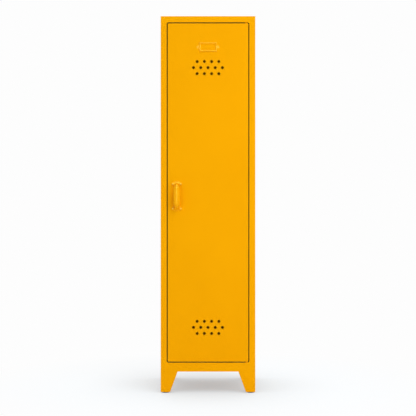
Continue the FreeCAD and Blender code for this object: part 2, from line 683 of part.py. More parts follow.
# Magnetic catch: moulded housing screwed to the back of the lip on the handle side, with a
# magnet set in its front, level with the handle.
CATCH_FACE = f"({DOOR_BACK} + dims.strike_thickness + dims.catch_air_gap)"
catch_low = f"{HANDLE_Z} - dims.catch_length / 2"
housing_block = box("catch_block", (f"-{STOP_EDGE}", CATCH_FACE, catch_low),
                    ("dims.catch_width", "dims.catch_depth", "dims.catch_length"))
mount_flange = box("catch_flange", (f"-{OPENING_HALF}", STOP_BACK, catch_low),
                   ("dims.stop_lip + dims.catch_width / 2", "dims.catch_flange_thickness",
                    "dims.catch_length"))
magnet_spot = (f"(dims.catch_width - dims.magnet_width) / 2 - {STOP_EDGE}", CATCH_FACE,
               f"{HANDLE_Z} - dims.magnet_length / 2")
magnet_extent = ("dims.magnet_width", "dims.magnet_depth", "dims.magnet_length")
magnet_pocket = box("magnet_pocket", magnet_spot, magnet_extent)
flange_back = f"{STOP_BACK} + dims.catch_flange_thickness"
catch_screws, flange_holes = [], []
for step, side in enumerate((-1, 1)):
    screw_x, screw_z = f"-{STOP_MIDDLE}", f"{HANDLE_Z} + {side} * dims.catch_screw_spacing / 2"
    flange_holes.append(cylinder(f"catch_hole_{step}", "dims.catch_screw_diameter / 2 + dims.fit_clearance",
                                 "dims.catch_flange_thickness", (screw_x, STOP_BACK, screw_z), TOWARDS_BACK))
    head = dome(f"catch_screw_head_{step}", "dims.catch_screw_head / 2", "dims.catch_screw_head_height",
                (screw_x, flange_back, screw_z), TOWARDS_BACK)
    shank = cylinder(f"catch_screw_shank_{step}", "dims.catch_screw_diameter / 2",
                     "dims.catch_flange_thickness + 2 * dims.body_sheet",
                     (screw_x, flange_back, screw_z), TOWARDS_FRONT)
    catch_screws.append(fuse(f"catch_screw_{step}", [head, shank]))
housing = fuse("catch_joined", [housing_block, mount_flange])
keep(cut("catch_cut", housing, [magnet_pocket] + flange_holes), "catch_housing")
keep(box("magnet_block", magnet_spot, magnet_extent), "catch_magnet")
keep(group("catch_screw_set", catch_screws), "catch_screws")

# Door buffers: two soft discs stuck to the lip on the handle side.
buffers = [
    cylinder(f"{level}_buffer", "dims.buffer_diameter / 2", "dims.buffer_thickness",
             (f"-{STOP_MIDDLE}", STOP_FACE, height), TOWARDS_FRONT)
    for level, height in (("upper", UPPER_BUFFER), ("lower", LOWER_BUFFER))
]
keep(group("buffer_set", buffers), "door_buffers")

# Door skin: flush sheet folded back on four sides with a lip inside, pierced by two vent groups.
door = new_body("door_skin", y=FRONT)


def door_outline(sketch, inset, radius):
    """Rounded outline a given distance inside the edge of the door."""
    rounded_rectangle(sketch, f"-({DOOR_HALF} - {inset})", f"({DOOR_HALF} - {inset})",
                      f"({DOOR_BOTTOM} + {inset})", f"({DOOR_TOP} - {inset})", radius)


door_face = front_sketch(door, "face")
door_outline(door_face, "0", DOOR_RADIUS)
pad_back(door, door_face, "dims.door_depth")
door_hollow = front_sketch(door, "hollow", "dims.door_sheet")
door_outline(door_hollow, "dims.door_sheet", f"({DOOR_RADIUS} - dims.door_sheet)")
pocket_back(door, door_hollow, "dims.door_depth - dims.door_sheet")
door_lip = front_sketch(door, "lip", "dims.door_depth - dims.door_sheet")
door_outline(door_lip, "dims.door_sheet / 2", f"({DOOR_RADIUS} - dims.door_sheet / 2)")
rectangle(door_lip, f"dims.door_lip - {DOOR_HALF}", f"{DOOR_HALF} - dims.door_lip",
          f"{DOOR_BOTTOM} + dims.door_lip", f"{DOOR_TOP} - dims.door_lip")
pad_back(door, door_lip, "dims.door_sheet")
round_edges(door, "front_fold", "dims.door_edge_radius", lambda ends: all(near(p.y, 0) for p in ends))
punched = front_sketch(door, "punched")
for middle in (UPPER_VENT, LOWER_VENT):
    for row, count in enumerate(VENT_ROWS):
        for hole in range(count):
            circle(punched, f"{hole - (count - 1) / 2} * dims.vent_pitch",
                   f"{middle} + {1 - row} * dims.vent_row_pitch", "dims.vent_diameter")
HANDLE_SCREW_SPOTS = [
    (f"{HANDLE_X} + {side} * (dims.handle_foot_width / 2 - dims.handle_screw_edge)",
     f"{HANDLE_Z} + {level} * dims.handle_foot_spacing / 2")
    for side in (-1, 1) for level in (-1, 1)
]
SCREW_HOLE = "(dims.handle_screw_diameter + 2 * dims.fit_clearance)"
RIVET_HOLE = "(dims.rivet_diameter + 2 * dims.fit_clearance)"
for spot in HANDLE_SCREW_SPOTS:
    circle(punched, *spot, SCREW_HOLE)
for side in (-1, 1):
    circle(punched, f"{side} * {LABEL_RIVET_X}", LABEL_Z, RIVET_HOLE)
pocket_back(door, punched, "dims.door_sheet")
for level, edge, upwards in (("upper", DOOR_TOP, False), ("lower", DOOR_BOTTOM, True)):
    bush_hole = sketch_on(door, "XY_Plane", f"{level}_bush_hole", edge)
    circle(bush_hole, HINGE_X, "dims.hinge_setback", f"2 * {BUSH_SEAT}")
    extrude(door, "Pocket", bush_hole, "dims.bush_length", backwards=upwards)

# Door stiffener: upright hat channel welded to the inside of the skin between the vents.
stiffener = new_body("door_stiffener", y=DOOR_INSIDE)
hat = sketch_on(stiffener, "XY_Plane", "hat", f"{LOWER_VENT} + dims.stiffener_vent_distance")
web, brim = "dims.stiffener_width / 2", "(dims.stiffener_width / 2 + dims.stiffener_flange)"
web_inside = "(dims.stiffener_width / 2 - dims.door_sheet)"
crown, crown_inside = "dims.stiffener_depth", "dims.stiffener_depth - dims.door_sheet"
polygon(hat, [(f"-{brim}", "0"), (f"-{web_inside}", "0"), (f"-{web_inside}", crown_inside),
              (web_inside, crown_inside), (web_inside, "0"), (brim, "0"), (brim, "dims.door_sheet"),
              (web, "dims.door_sheet"), (web, crown), (f"-{web}", crown),
              (f"-{web}", "dims.door_sheet"), (f"-{brim}", "dims.door_sheet")])
extrude(stiffener, "Pad", hat, f"{UPPER_VENT} - {LOWER_VENT} - 2 * dims.stiffener_vent_distance")

# Pivot blocks and bushes: a drilled block in each hinge corner of the door, with a flanged
# bush that turns on the pin.
HINGE_ENDS = (
    ("upper", DOOR_TOP, "-1", DOWNWARDS, UPWARDS),
    ("lower", DOOR_BOTTOM, "1", UPWARDS, DOWNWARDS),
)
for level, edge, inwards, inward, outward in HINGE_ENDS:
    block = new_body(f"{level}_pivot_block", y=DOOR_INSIDE)
    block_face = front_sketch(block, "face")
    block_end = f"{DOOR_HALF} - dims.door_sheet"
    block_start = f"{block_end} - dims.pivot_block_length"
    seat = f"{edge} + {inwards} * dims.door_sheet"
    tip = f"{edge} + {inwards} * dims.bush_length"
    corner_radius = f"({DOOR_RADIUS} - dims.door_sheet)"
    polygon(block_face, [(block_start, seat), (f"{block_end} - {corner_radius}", seat),
                         (block_end, f"{seat} + {inwards} * {corner_radius}"), (block_end, tip),
                         (block_start, tip)])
    pad_back(block, block_face, "dims.door_depth - 2 * dims.door_sheet")
    bush_seat = sketch_on(block, "XY_Plane", "bush_seat", seat)
    circle(bush_seat, HINGE_X, "dims.hinge_setback - dims.door_sheet", f"2 * {BUSH_SEAT}")
    extrude(block, "Pocket", bush_seat, "dims.bush_length - dims.door_sheet", backwards=level == "lower")

    centre = (HINGE_X, HINGE_Y, edge)
    sleeve = cylinder(f"{level}_bush_sleeve", BUSH_RADIUS, "dims.bush_length", centre, inward)
    bush_flange = cylinder(f"{level}_bush_flange", "dims.bush_flange_diameter / 2",
                           "dims.bush_flange_thickness", centre, outward)
    bore_in = cylinder(f"{level}_bush_bore_in", BUSH_BORE, "dims.bush_length", centre, inward)
    bore_out = cylinder(f"{level}_bush_bore_out", BUSH_BORE, "dims.bush_flange_thickness", centre, outward)
    bush = fuse(f"{level}_bush_body", [sleeve, bush_flange])
    bore = fuse(f"{level}_bush_bore", [bore_in, bore_out])
    keep(cut(f"{level}_bush_cut", bush, [bore]), f"{level}_hinge_bush")


# Pull handle: a bow that widens from two necks into a flat oval grip, on two oval feet.
def ellipse(name, out, rise, tilt, width, thickness):
    """Oval section of the handle, a given distance out from the door and up from its middle."""
    sizes = {"MajorRadius": f"{width} / 2", "MinorRadius": f"{thickness} / 2"}
    spot = (HANDLE_X, f"{FRONT} - ({out})", f"{HANDLE_Z} + ({rise})")
    return primitive("Ellipse", name, sizes, spot, FreeCAD.Rotation(FreeCAD.Vector(1, 0, 0), tilt))


def loft(name, sections):
    """Solid through a row of sections."""
    solid = doc.addObject("Part::Loft", name)
    solid.Sections = sections
    solid.Solid = True
    solid.Ruled = True
    return solid


GRIP_CENTRE = "(dims.handle_projection - dims.grip_thickness / 2)"
handle_pieces, bow_rows = [], []
for level in (-1, 1):
    foot_rise = f"{level} * dims.handle_foot_spacing / 2"
    rows = [("dims.handle_foot_thickness / 2", foot_rise, -90 * level, "dims.neck_width",
             "dims.neck_thickness")]
    for step in range(HANDLE_BEND_STEPS + 1):
        share = step / HANDLE_BEND_STEPS
        angle = 90 * share
        out = f"{GRIP_CENTRE} - dims.handle_bend_radius * (1 - sin({angle} deg))"
        rise = f"{level} * (dims.handle_foot_spacing / 2 - dims.handle_bend_radius * (1 - cos({angle} deg)))"
        width = f"(dims.neck_width + {share} * (dims.grip_width - dims.neck_width))"
        thickness = f"(dims.neck_thickness + {share} * (dims.grip_thickness - dims.neck_thickness))"
        rows.append((out, rise, -(90 - angle) * level, width, thickness))
    bow_rows += rows if level < 0 else rows[::-1]
    foot_rows = [("0", "0"), ("dims.handle_foot_thickness - dims.handle_foot_bevel", "0"),
                 ("dims.handle_foot_thickness", "2 * dims.handle_foot_bevel")]
    foot_sections = [
        ellipse(f"foot_{level + 1}_{step}", out, foot_rise, 90, f"(dims.handle_foot_width - {less})",
                f"(dims.handle_foot_height - {less})")
        for step, (out, less) in enumerate(foot_rows)
    ]
    handle_pieces.append(loft(f"handle_foot_{level + 1}", foot_sections))
bow = loft("handle_bow", [ellipse(f"bow_{step}", *row) for step, row in enumerate(bow_rows)])
handle_holes = [
    cylinder(f"handle_hole_{step}", f"{SCREW_HOLE} / 2", "dims.handle_foot_thickness", (x, FRONT, z),
             TOWARDS_FRONT)
    for step, (x, z) in enumerate(HANDLE_SCREW_SPOTS)
]
keep(cut("handle_cut", fuse("handle_joined", [bow] + handle_pieces), handle_holes), "pull_handle")

# Handle screws and nuts: four screws through the feet and the skin, with nuts inside the door.
handle_screws, handle_nuts = [], []
for step, (x, z) in enumerate(HANDLE_SCREW_SPOTS):
    foot_front = f"{FRONT} - dims.handle_foot_thickness"
    head = dome(f"handle_screw_head_{step}", "dims.handle_screw_head / 2", "dims.handle_screw_head_height",
                (x, foot_front, z), TOWARDS_FRONT)
    shank = cylinder(f"handle_screw_shank_{step}", "dims.handle_screw_diameter / 2",
                     "dims.handle_foot_thickness + 2 * dims.door_sheet + dims.handle_nut_height",
                     (x, foot_front, z), TOWARDS_BACK)
    handle_screws.append(fuse(f"handle_screw_{step}", [head, shank]))
    blank = hexagon(f"handle_nut_blank_{step}", "dims.handle_nut_width", "dims.handle_nut_height",
                    (x, DOOR_INSIDE, z), TOWARDS_BACK)
    nut_bore = cylinder(f"handle_nut_bore_{step}", f"{SCREW_HOLE} / 2", "dims.handle_nut_height",
                        (x, DOOR_INSIDE, z), TOWARDS_BACK)
    handle_nuts.append(cut(f"handle_nut_{step}", blank, [nut_bore]))
keep(group("handle_screw_set", handle_screws), "handle_screws")
keep(group("handle_nut_set", handle_nuts), "handle_nuts")

# Label holder: raised frame, open at the top behind its face so that a card slides in, with
# an ear on each side for a rivet.
holder = new_body("label_holder", y=FRONT, z=LABEL_Z)
half_label, half_tall = "dims.label_width / 2", "dims.label_height / 2"
border = front_sketch(holder, "border")
rectangle(border, f"-{half_label}", half_label, f"-{half_tall}", half_tall)
rectangle(border, f"dims.label_strip - {half_label}", f"{half_label} - dims.label_strip",
          f"dims.label_strip - {half_tall}", f"{half_tall} - dims.label_strip")
extrude(holder, "Pad", border, "dims.label_depth")
round_edges(holder, "border_edge", "dims.label_edge_radius",
            lambda ends: all(near(p.y, -size("dims.label_depth")) for p in ends))
slot = front_sketch(holder, "slot")
rectangle(slot, f"dims.label_strip / 2 - {half_label}", f"{half_label} - dims.label_strip / 2",
          f"dims.label_strip / 2 - {half_tall}", half_tall)
extrude(holder, "Pocket", slot, "dims.label_slot", backwards=True)
for name, side in (("left_ear", "-1"), ("right_ear", "1")):
    ear = front_sketch(holder, name)
    rectangle(ear, f"{side} * ({half_label} - dims.label_strip / 4)",
              f"{side} * ({half_label} + dims.label_ear_width)",
              "-dims.label_ear_height / 2", "dims.label_ear_height / 2")
    circle(ear, f"{side} * {LABEL_RIVET_X}", "0", RIVET_HOLE)
    extrude(holder, "Pad", ear, "dims.label_ear_thickness")


def rivet(name, x, outer_face, z, grip):
    """Rivet along Y from its outer face through a grip length, with a head at each end."""
    outer_head = dome(f"{name}_outer_head", "dims.rivet_head_diameter / 2", "dims.rivet_head_height",
                      (x, outer_face, z), TOWARDS_FRONT)
    stem = cylinder(f"{name}_stem", "dims.rivet_diameter / 2", grip, (x, outer_face, z), TOWARDS_BACK)
    inner_head = dome(f"{name}_inner_head", "dims.rivet_head_diameter / 2", "dims.rivet_head_height",
                      (x, f"{outer_face} + {grip}", z), TOWARDS_BACK)
    return fuse(name, [outer_head, stem, inner_head])


label_rivets = [
    rivet(f"label_rivet_{side + 1}", f"{side} * {LABEL_RIVET_X}", f"{FRONT} - dims.label_ear_thickness",
          LABEL_Z, "dims.label_ear_thickness + dims.door_sheet")
    for side in (-1, 1)
]
keep(group("label_rivet_set", label_rivets), "label_rivets")

# Strike plate: steel strip welded to the door's rear lip, facing the magnet.
strike = new_body("strike_plate", y=DOOR_BACK)
strike_face = front_sketch(strike, "face")
rectangle(strike_face, f"{STRIKE_X} - dims.strike_width / 2", f"{STRIKE_X} + dims.strike_width / 2",
          f"{HANDLE_Z} - dims.strike_length / 2", f"{HANDLE_Z} + dims.strike_length / 2")
pad_back(strike, strike_face, "dims.strike_thickness")

doc.recompute()

# Every object has to be sound before anything is written
for item in doc.Objects:
    if "Invalid" in item.State or "Error" in item.State:
        raise RuntimeError(f"{item.Label} failed: {item.State}")
for piece in finished:
    if piece.Shape.isNull() or not piece.Shape.isValid():
        raise RuntimeError(f"{piece.Label} has no valid shape")

os.makedirs("parts", exist_ok=True)
for piece in finished:
    piece.Shape.exportStep(f"parts/{piece.Label}.step")
    print(f"{piece.Label}: {len(piece.Shape.Solids)} solid(s), {piece.Shape.Volume / 1000:.1f} cm3")
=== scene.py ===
import math

import bmesh
import bpy
from mathutils import Matrix, Vector


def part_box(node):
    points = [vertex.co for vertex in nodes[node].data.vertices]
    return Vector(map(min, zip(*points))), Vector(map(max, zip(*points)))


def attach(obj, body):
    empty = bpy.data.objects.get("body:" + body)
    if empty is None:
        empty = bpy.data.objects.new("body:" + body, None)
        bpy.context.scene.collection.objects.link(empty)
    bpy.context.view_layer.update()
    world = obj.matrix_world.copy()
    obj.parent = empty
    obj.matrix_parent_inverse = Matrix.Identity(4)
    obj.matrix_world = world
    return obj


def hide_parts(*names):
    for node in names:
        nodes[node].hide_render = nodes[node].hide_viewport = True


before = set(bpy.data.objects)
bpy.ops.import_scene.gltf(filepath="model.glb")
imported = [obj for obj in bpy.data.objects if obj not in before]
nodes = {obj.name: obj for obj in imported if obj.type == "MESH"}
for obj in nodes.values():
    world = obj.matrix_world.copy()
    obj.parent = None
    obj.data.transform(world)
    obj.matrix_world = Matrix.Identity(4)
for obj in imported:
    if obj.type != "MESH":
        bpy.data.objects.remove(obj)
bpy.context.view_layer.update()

# Front frame: stiles, rails and the jamb folded back round the door, pressed from one steel sheet.
# It is powder coated in a warm yellow. In the slit beside the door a dark olive is painted on as shade, on
# the jamb's walls and on the strip of its lip that shows through the gap.
FRONT_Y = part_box("front_frame")[0].y
OPENING_HALF, OPENING_LOW, OPENING_HIGH, FOLD = 0.197, 0.145, 1.770, 0.0015
HINGE_X, PIN_ROOM = 0.185, (0.006, 0.009)
SLIT_DEPTH, EDGE_DEPTH = (0.0001, 0.0008), (0.007, 0.013)
LIP_STRIP, WALL_BLUR = (-0.0066, -0.0060), 0.0001
YELLOW_LIGHT = (0.965, 0.418, 0.0008, 1.0)
YELLOW_DEEP = (0.935, 0.398, 0.0005, 1.0)
# Dark olive painted as shade in the slit round the door.
SLIT_SHADE_OLIVE = (0.125, 0.142, 0.045, 1.0)
SCUFF_BROWN = (0.42, 0.17, 0.01, 1.0)
# Near black painted as shade at the edge of each vent hole.
RIM_SHADE_BLACK = (0.03, 0.02, 0.01, 1.0)
COAT_GLEAM = (1.0, 0.74, 0.05, 1.0)
COAT_GLOSS, COAT_SHEEN, COAT_PEEL, DULLING = (0.40, 0.52), 0.24, 0.10, 0.26
DRIFT_SCALE, DRIFT_SPAN = 2.6, (0.36, 0.64)
PATCH_SCALE, PATCH_SPAN, PATCH_SHARE, GLOSS_SPAN = 38.0, (0.55, 0.85), 0.12, (0.3, 0.7)
SCUFF_SCALE, SCUFF_SPAN, SCUFF_SHARE = 160.0, (0.60, 0.72), 0.6
PEEL_SCALE, PEEL_DEPTH = 520.0, 0.0004


def add_node(tree, kind, settings=None, inputs=None):
    """Add a node to a tree; an input takes a plain value or another node's output."""
    added = tree.nodes.new(kind)
    for name, value in (settings or {}).items():
        setattr(added, name, value)
    for key, value in (inputs or {}).items():
        if isinstance(value, bpy.types.NodeSocket):
            tree.links.new(value, added.inputs[key])
        else:
            added.inputs[key].default_value = value
    return added


def noise(tree, place, scale, detail=2.0):
    """Soft noise with a given number of features per metre."""
    grain = {"Vector": place, "Scale": scale, "Detail": detail}
    return add_node(tree, "ShaderNodeTexNoise", inputs=grain).outputs[0]


def remap(tree, value, low, high, to_low=0.0, to_high=1.0):
    """Stretch a value from one span to another, held at the ends."""
    spans = {"Value": value, "From Min": low, "From Max": high, "To Min": to_low, "To Max": to_high}
    return add_node(tree, "ShaderNodeMapRange", inputs=spans).outputs[0]


def blend_colour(tree, share, first, second):
    """Mix two colours, either of them plain or from a node."""
    mix = add_node(tree, "ShaderNodeMix", {"data_type": "RGBA"}, {0: share, 6: first, 7: second})
    return mix.outputs[2]


def maths(tree, operation, first, second=0.0):
    """Result of a sum on one or two values."""
    return add_node(tree, "ShaderNodeMath", {"operation": operation}, {0: first, 1: second}).outputs[0]


def new_finish(name):
    """Material with its shader, its tree and the place on the piece."""
    material = bpy.data.materials.new(name)
    material.use_nodes = True
    tree = material.node_tree
    place = add_node(tree, "ShaderNodeTexCoord").outputs["Object"]
    return material, tree, tree.nodes["Principled BSDF"], place


def roughen(tree, shader, height, strength, distance):
    """Give a shader a fine relief."""
    relief = {"Strength": strength, "Distance": distance, "Height": height}
    tree.links.new(add_node(tree, "ShaderNodeBump", inputs=relief).outputs[0], shader.inputs["Normal"])


def slit_shade_share(tree, spot, half_x, low_z, high_z, on_jamb):
    """Share of painted olive shade behind the front: inside a rectangle on the jamb, outside one on the
    door's edge.
    """
    rise = maths(tree, "ABSOLUTE", maths(tree, "SUBTRACT", spot["Z"], (low_z + high_z) / 2))
    aside = maths(tree, "SUBTRACT", maths(tree, "ABSOLUTE", spot["X"]), half_x)
    beyond = maths(tree, "MAXIMUM", aside, maths(tree, "SUBTRACT", rise, (high_z - low_z) / 2))
    wall = remap(tree, beyond, -WALL_BLUR, WALL_BLUR, float(on_jamb), 1.0 - on_jamb)
    from_pin = maths(tree, "ABSOLUTE", maths(tree, "SUBTRACT", spot["X"], HINGE_X))
    wall = maths(tree, "MULTIPLY", wall, remap(tree, from_pin, *PIN_ROOM))
    depth = maths(tree, "SUBTRACT", spot["Y"], FRONT_Y)
    share = maths(tree, "MULTIPLY", wall, remap(tree, depth, *SLIT_DEPTH))
    reach = remap(tree, beyond, *LIP_STRIP) if on_jamb else remap(tree, depth, *EDGE_DEPTH, 1.0, 0.0)
    return maths(tree, "MULTIPLY", share, reach)


def powder_coat(name, shift, gloss=COAT_GLOSS, sheen=COAT_SHEEN, gleam=COAT_GLEAM, peel=COAT_PEEL, slit=None,
                scuffed_below=None, rim_shade=None, dull=None):
    """Smooth satin powder coat: a slow drift of shade, patches of gloss and a fine orange peel.

    slit paints an olive shade in the door's slit; the rim attribute paints a near-black shade at a vent's
    edge;
    dull names the attribute where the gloss is lost.
    """
    material, tree, shader, place = new_finish(name)
    shifted = {"Vector": place, "Location": (shift, -shift, shift)}
    moved = add_node(tree, "ShaderNodeMapping", inputs=shifted).outputs[0]
    drift = remap(tree, noise(tree, moved, DRIFT_SCALE), *DRIFT_SPAN)
    colour = blend_colour(tree, drift, YELLOW_DEEP, YELLOW_LIGHT)
    patches = noise(tree, moved, PATCH_SCALE, detail=3.0)
    deeper = remap(tree, patches, *PATCH_SPAN, 0.0, PATCH_SHARE)
    colour = blend_colour(tree, deeper, colour, YELLOW_DEEP)
    spot = add_node(tree, "ShaderNodeSeparateXYZ", inputs={"Vector": place}).outputs
    if slit:
        # Painted shade: dark olive on the walls of the slit round the door.
        colour = blend_colour(tree, slit_shade_share(tree, spot, *slit), colour, SLIT_SHADE_OLIVE)
    if scuffed_below:
        low = remap(tree, spot["Z"], 0.0, scuffed_below, SCUFF_SHARE, 0.0)
        marks = remap(tree, noise(tree, moved, SCUFF_SCALE, detail=5.0), *SCUFF_SPAN)
        colour = blend_colour(tree, maths(tree, "MULTIPLY", low, marks), colour, SCUFF_BROWN)
    # Painted shade: near black where the mesh attribute marks a vent hole's edge.
    if rim_shade:
        edge = add_node(tree, "ShaderNodeAttribute", {"attribute_name": rim_shade}).outputs["Fac"]
        colour = blend_colour(tree, edge, colour, RIM_SHADE_BLACK)
    tree.links.new(colour, shader.inputs["Base Color"])
    roughness = remap(tree, patches, *GLOSS_SPAN, *gloss)
    if dull:
        share = add_node(tree, "ShaderNodeAttribute", {"attribute_name": dull}).outputs["Fac"]
        roughness = maths(tree, "ADD", roughness, maths(tree, "MULTIPLY", share, DULLING))
    tree.links.new(roughness, shader.inputs["Roughness"])
    shader.inputs["Specular IOR Level"].default_value = sheen
    shader.inputs["Specular Tint"].default_value = gleam
    roughen(tree, shader, noise(tree, moved, PEEL_SCALE, detail=1.0), peel, PEEL_DEPTH)
    return material


def dress(finish, *names):
    """Give CAD nodes a finish."""
    for name in names:
        nodes[name].data.materials.clear()
        nodes[name].data.materials.append(finish)


jamb_slit = (OPENING_HALF + FOLD, OPENING_LOW - FOLD, OPENING_HIGH + FOLD, True)
dress(powder_coat("frame_coat", shift=0.0, slit=jamb_slit), "front_frame")

# Casing: side, back, top and floor sheets of thin steel, folded at their edges and spot welded to the frame.
# The same yellow coat covers them inside and out.
casing_coat = powder_coat("casing_coat", shift=3.7)
dress(casing_coat, "left_side_panel", "right_side_panel", "back_panel", "top_panel", "floor_panel")

# Spot welds: rows of shallow pressed dimples inside the back panel, where it meets the rear flanges.
# Each is a low ring left by the electrode, painted over.
DIMPLE = ((0, 0.00005), (0.0014, 0.00008), (0.0022, 0.00022), (0.0029, 0.0002), (0.0035, 0.0), (0, 0.0))
WELD_ROWS, WELD_PITCH, WELD_MIDDLE = 17, (0.434, 0.1), 0.95
TO_FRONT = (math.pi / 2, 0.0, 0.0)
TURN_SEED = 7


def finished_mesh(shape, sharp_over=35):
    """Mesh from a bmesh, smooth except along edges sharper than an angle in degrees."""
    for face in shape.faces:
        face.smooth = True
    for edge in shape.edges:
        edge.smooth = len(edge.link_faces) == 2 and edge.calc_face_angle(0) < math.radians(sharp_over)
    mesh = bpy.data.meshes.new("piece")
    shape.to_mesh(mesh)
    shape.free()
    return mesh


def turned(profile, steps):
    """Mesh turned round the Z axis from points of radius and height, the first and last on the axis."""
    shape = bmesh.new()
    rings = []
    for radius, height in profile:
        if radius == 0:
            rings.append([shape.verts.new((0, 0, height))])
            continue
        turns = (2 * math.pi * step / steps for step in range(steps))
        rings.append([shape.verts.new((radius * math.cos(t), radius * math.sin(t), height)) for t in turns])
    for lower, upper in zip(rings, rings[1:]):
        for step in range(steps):
            after = (step + 1) % steps
            if len(lower) == 1 and len(upper) > 1:
                shape.faces.new((lower[0], upper[step], upper[after]))
            elif len(upper) == 1 and len(lower) > 1:
                shape.faces.new((lower[step], upper[0], lower[after]))
            elif len(lower) > 1:
                shape.faces.new((lower[step], upper[step], upper[after], lower[after]))
    bmesh.ops.recalc_face_normals(shape, faces=shape.faces)
    return finished_mesh(shape)


def fixing_grid():
    """Node tree that repeats one part on a grid, gives each its own turn and faces the grid a given way."""
    tree = bpy.data.node_groups.new("fixing_grid", "GeometryNodeTree")
    sockets = (("Part", "Geometry"), ("Columns", "Int"), ("Rows", "Int"), ("Column Pitch", "Float"),
               ("Row Pitch", "Float"), ("Most Turn", "Float"), ("Turn Seed", "Int"), ("Facing", "Vector"),
               ("Centre", "Vector"), ("Finish", "Material"))
    for label, kind in sockets:
        tree.interface.new_socket(label, in_out="INPUT", socket_type=f"NodeSocket{kind}")
    tree.interface.new_socket("Parts", in_out="OUTPUT", socket_type="NodeSocketGeometry")
    given = add_node(tree, "NodeGroupInput").outputs

    def centred(count, step, pitch):
        middle = maths(tree, "DIVIDE", maths(tree, "SUBTRACT", count, 1.0), 2.0)
        return maths(tree, "MULTIPLY", maths(tree, "SUBTRACT", step, middle), pitch)

    index = add_node(tree, "GeometryNodeInputIndex").outputs[0]
    column = maths(tree, "MODULO", index, given["Columns"])
    row = maths(tree, "FLOOR", maths(tree, "DIVIDE", index, given["Columns"]))
    spot = add_node(tree, "ShaderNodeCombineXYZ", inputs={
        "X": centred(given["Columns"], column, given["Column Pitch"]),
        "Y": centred(given["Rows"], row, given["Row Pitch"])}).outputs[0]
    points = add_node(tree, "GeometryNodePoints", inputs={
        "Count": maths(tree, "MULTIPLY", given["Columns"], given["Rows"]), "Position": spot}).outputs[0]
    turn = add_node(tree, "FunctionNodeRandomValue", inputs={
        2: 0.0, 3: given["Most Turn"], "Seed": given["Turn Seed"]}).outputs[1]
    spin = add_node(tree, "ShaderNodeCombineXYZ", inputs={"Z": turn}).outputs[0]
    copies = add_node(tree, "GeometryNodeInstanceOnPoints", inputs={
        "Points": points, "Instance": given["Part"], "Rotation": spin}).outputs[0]
    placed = add_node(tree, "GeometryNodeTransform", inputs={
        "Geometry": copies, "Rotation": given["Facing"], "Translation": given["Centre"]}).outputs[0]
    real = add_node(tree, "GeometryNodeRealizeInstances", inputs={"Geometry": placed}).outputs[0]
    painted = add_node(tree, "GeometryNodeSetMaterial", inputs={
        "Geometry": real, "Material": given["Finish"]}).outputs[0]
    add_node(tree, "NodeGroupOutput", inputs={0: painted})
    return tree


FIXING_GRID = fixing_grid()


def repeat(name, part, finish, centre, columns=1, rows=1, pitch=(0.0, 0.0), facing=(0.0, 0.0, 0.0), turn=0.0):
    """Plain mesh object of one part repeated by the grid tree."""
    piece = bpy.data.objects.new(name, part.copy())
    piece.data.materials.append(finish)
    bpy.context.scene.collection.objects.link(piece)
    grid = piece.modifiers.new("grid", "NODES")
    grid.node_group = FIXING_GRID
    values = {"Columns": columns, "Rows": rows, "Column Pitch": pitch[0], "Row Pitch": pitch[1],
              "Most Turn": turn, "Turn Seed": TURN_SEED, "Facing": facing, "Centre": tuple(centre),
              "Finish": finish}
    for socket in FIXING_GRID.interface.items_tree:
        if socket.name in values:
            grid[socket.identifier] = values[socket.name]
    bpy.context.view_layer.update()
    made = piece.evaluated_get(bpy.context.evaluated_depsgraph_get())
    mesh = bpy.data.meshes.new_from_object(made)
    piece.modifiers.clear()
    piece.data = mesh
    return piece


def settle(piece, body, slot, *stands_for):
    """Let a finished piece ride on its body and stand for its CAD nodes; slot is not used."""
    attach(piece, body)
    if stands_for:
        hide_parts(*stands_for)


weld_spot = (0.0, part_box("back_panel")[0].y, WELD_MIDDLE)
back_welds = repeat("back_weld_marks", turned(DIMPLE, steps=16), casing_coat, weld_spot, columns=2,
                    rows=WELD_ROWS, pitch=WELD_PITCH, facing=TO_FRONT)
settle(back_welds, "carcass", "casing_paint")

# Legs: four tapered angles of thicker sheet with a closed foot, bolted up under the casing's corners.
# Coated like the casing, with a few dull scuffs near the floor; the gussets above them have the same coat.
CORNERS = {"front_left": 0, "front_right": 90, "rear_right": 180, "rear_left": 270}
LEG_FOOT, LEG_TOP, LEG_SHEET, LEG_BEND, FOOT_PLATE = 0.045, 0.081, 0.002, 0.002, 0.007
FOOT_ROUND, FOOT_STEPS, SCUFF_HEIGHT = 0.0026, 6, 0.035
leg_low, leg_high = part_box("front_left_leg")
LEG_BASE, LEG_HEAD = leg_low.z, leg_high.z
leg_coat = powder_coat("leg_coat", shift=6.1, scuffed_below=SCUFF_HEIGHT)


def add_piece(name, mesh, finish):
    """Object of a finished mesh, linked to the scene."""
    mesh.materials.append(finish)
    piece = bpy.data.objects.new(name, mesh)
    bpy.context.scene.collection.objects.link(piece)
    return piece


def boolean_cut(body, cutter):
    """Mesh of one closed shape with another taken away."""
    pair = [bpy.data.objects.new("cut", mesh) for mesh in (body, cutter)]
    for item in pair:
        bpy.context.scene.collection.objects.link(item)
    knife = pair[0].modifiers.new("cut", "BOOLEAN")
    knife.object = pair[1]
    knife.operation = "DIFFERENCE"
    knife.solver = "EXACT"
    bpy.context.view_layer.update()
    left = bpy.data.meshes.new_from_object(pair[0].evaluated_get(bpy.context.evaluated_depsgraph_get()))
    for item in pair:
        bpy.data.objects.remove(item)
    shape = bmesh.new()
    shape.from_mesh(left)
    bmesh.ops.remove_doubles(shape, verts=shape.verts, dist=1e-6)
    return finished_mesh(shape)


def rounded_rectangle(low, high, radius, steps=5):
    """Points round a rectangle with rounded corners, from its lowest and highest corners."""
    points = []
    left, right, bottom, top = low[0] + radius, high[0] - radius, low[1] + radius, high[1] - radius
    for quarter, (x, y) in enumerate(((right, bottom), (right, top), (left, top), (left, bottom))):
        for step in range(steps + 1):
            angle = math.pi / 2 * (quarter - 1 + step / steps)
            points.append((x + radius * math.cos(angle), y + radius * math.sin(angle)))
    return points


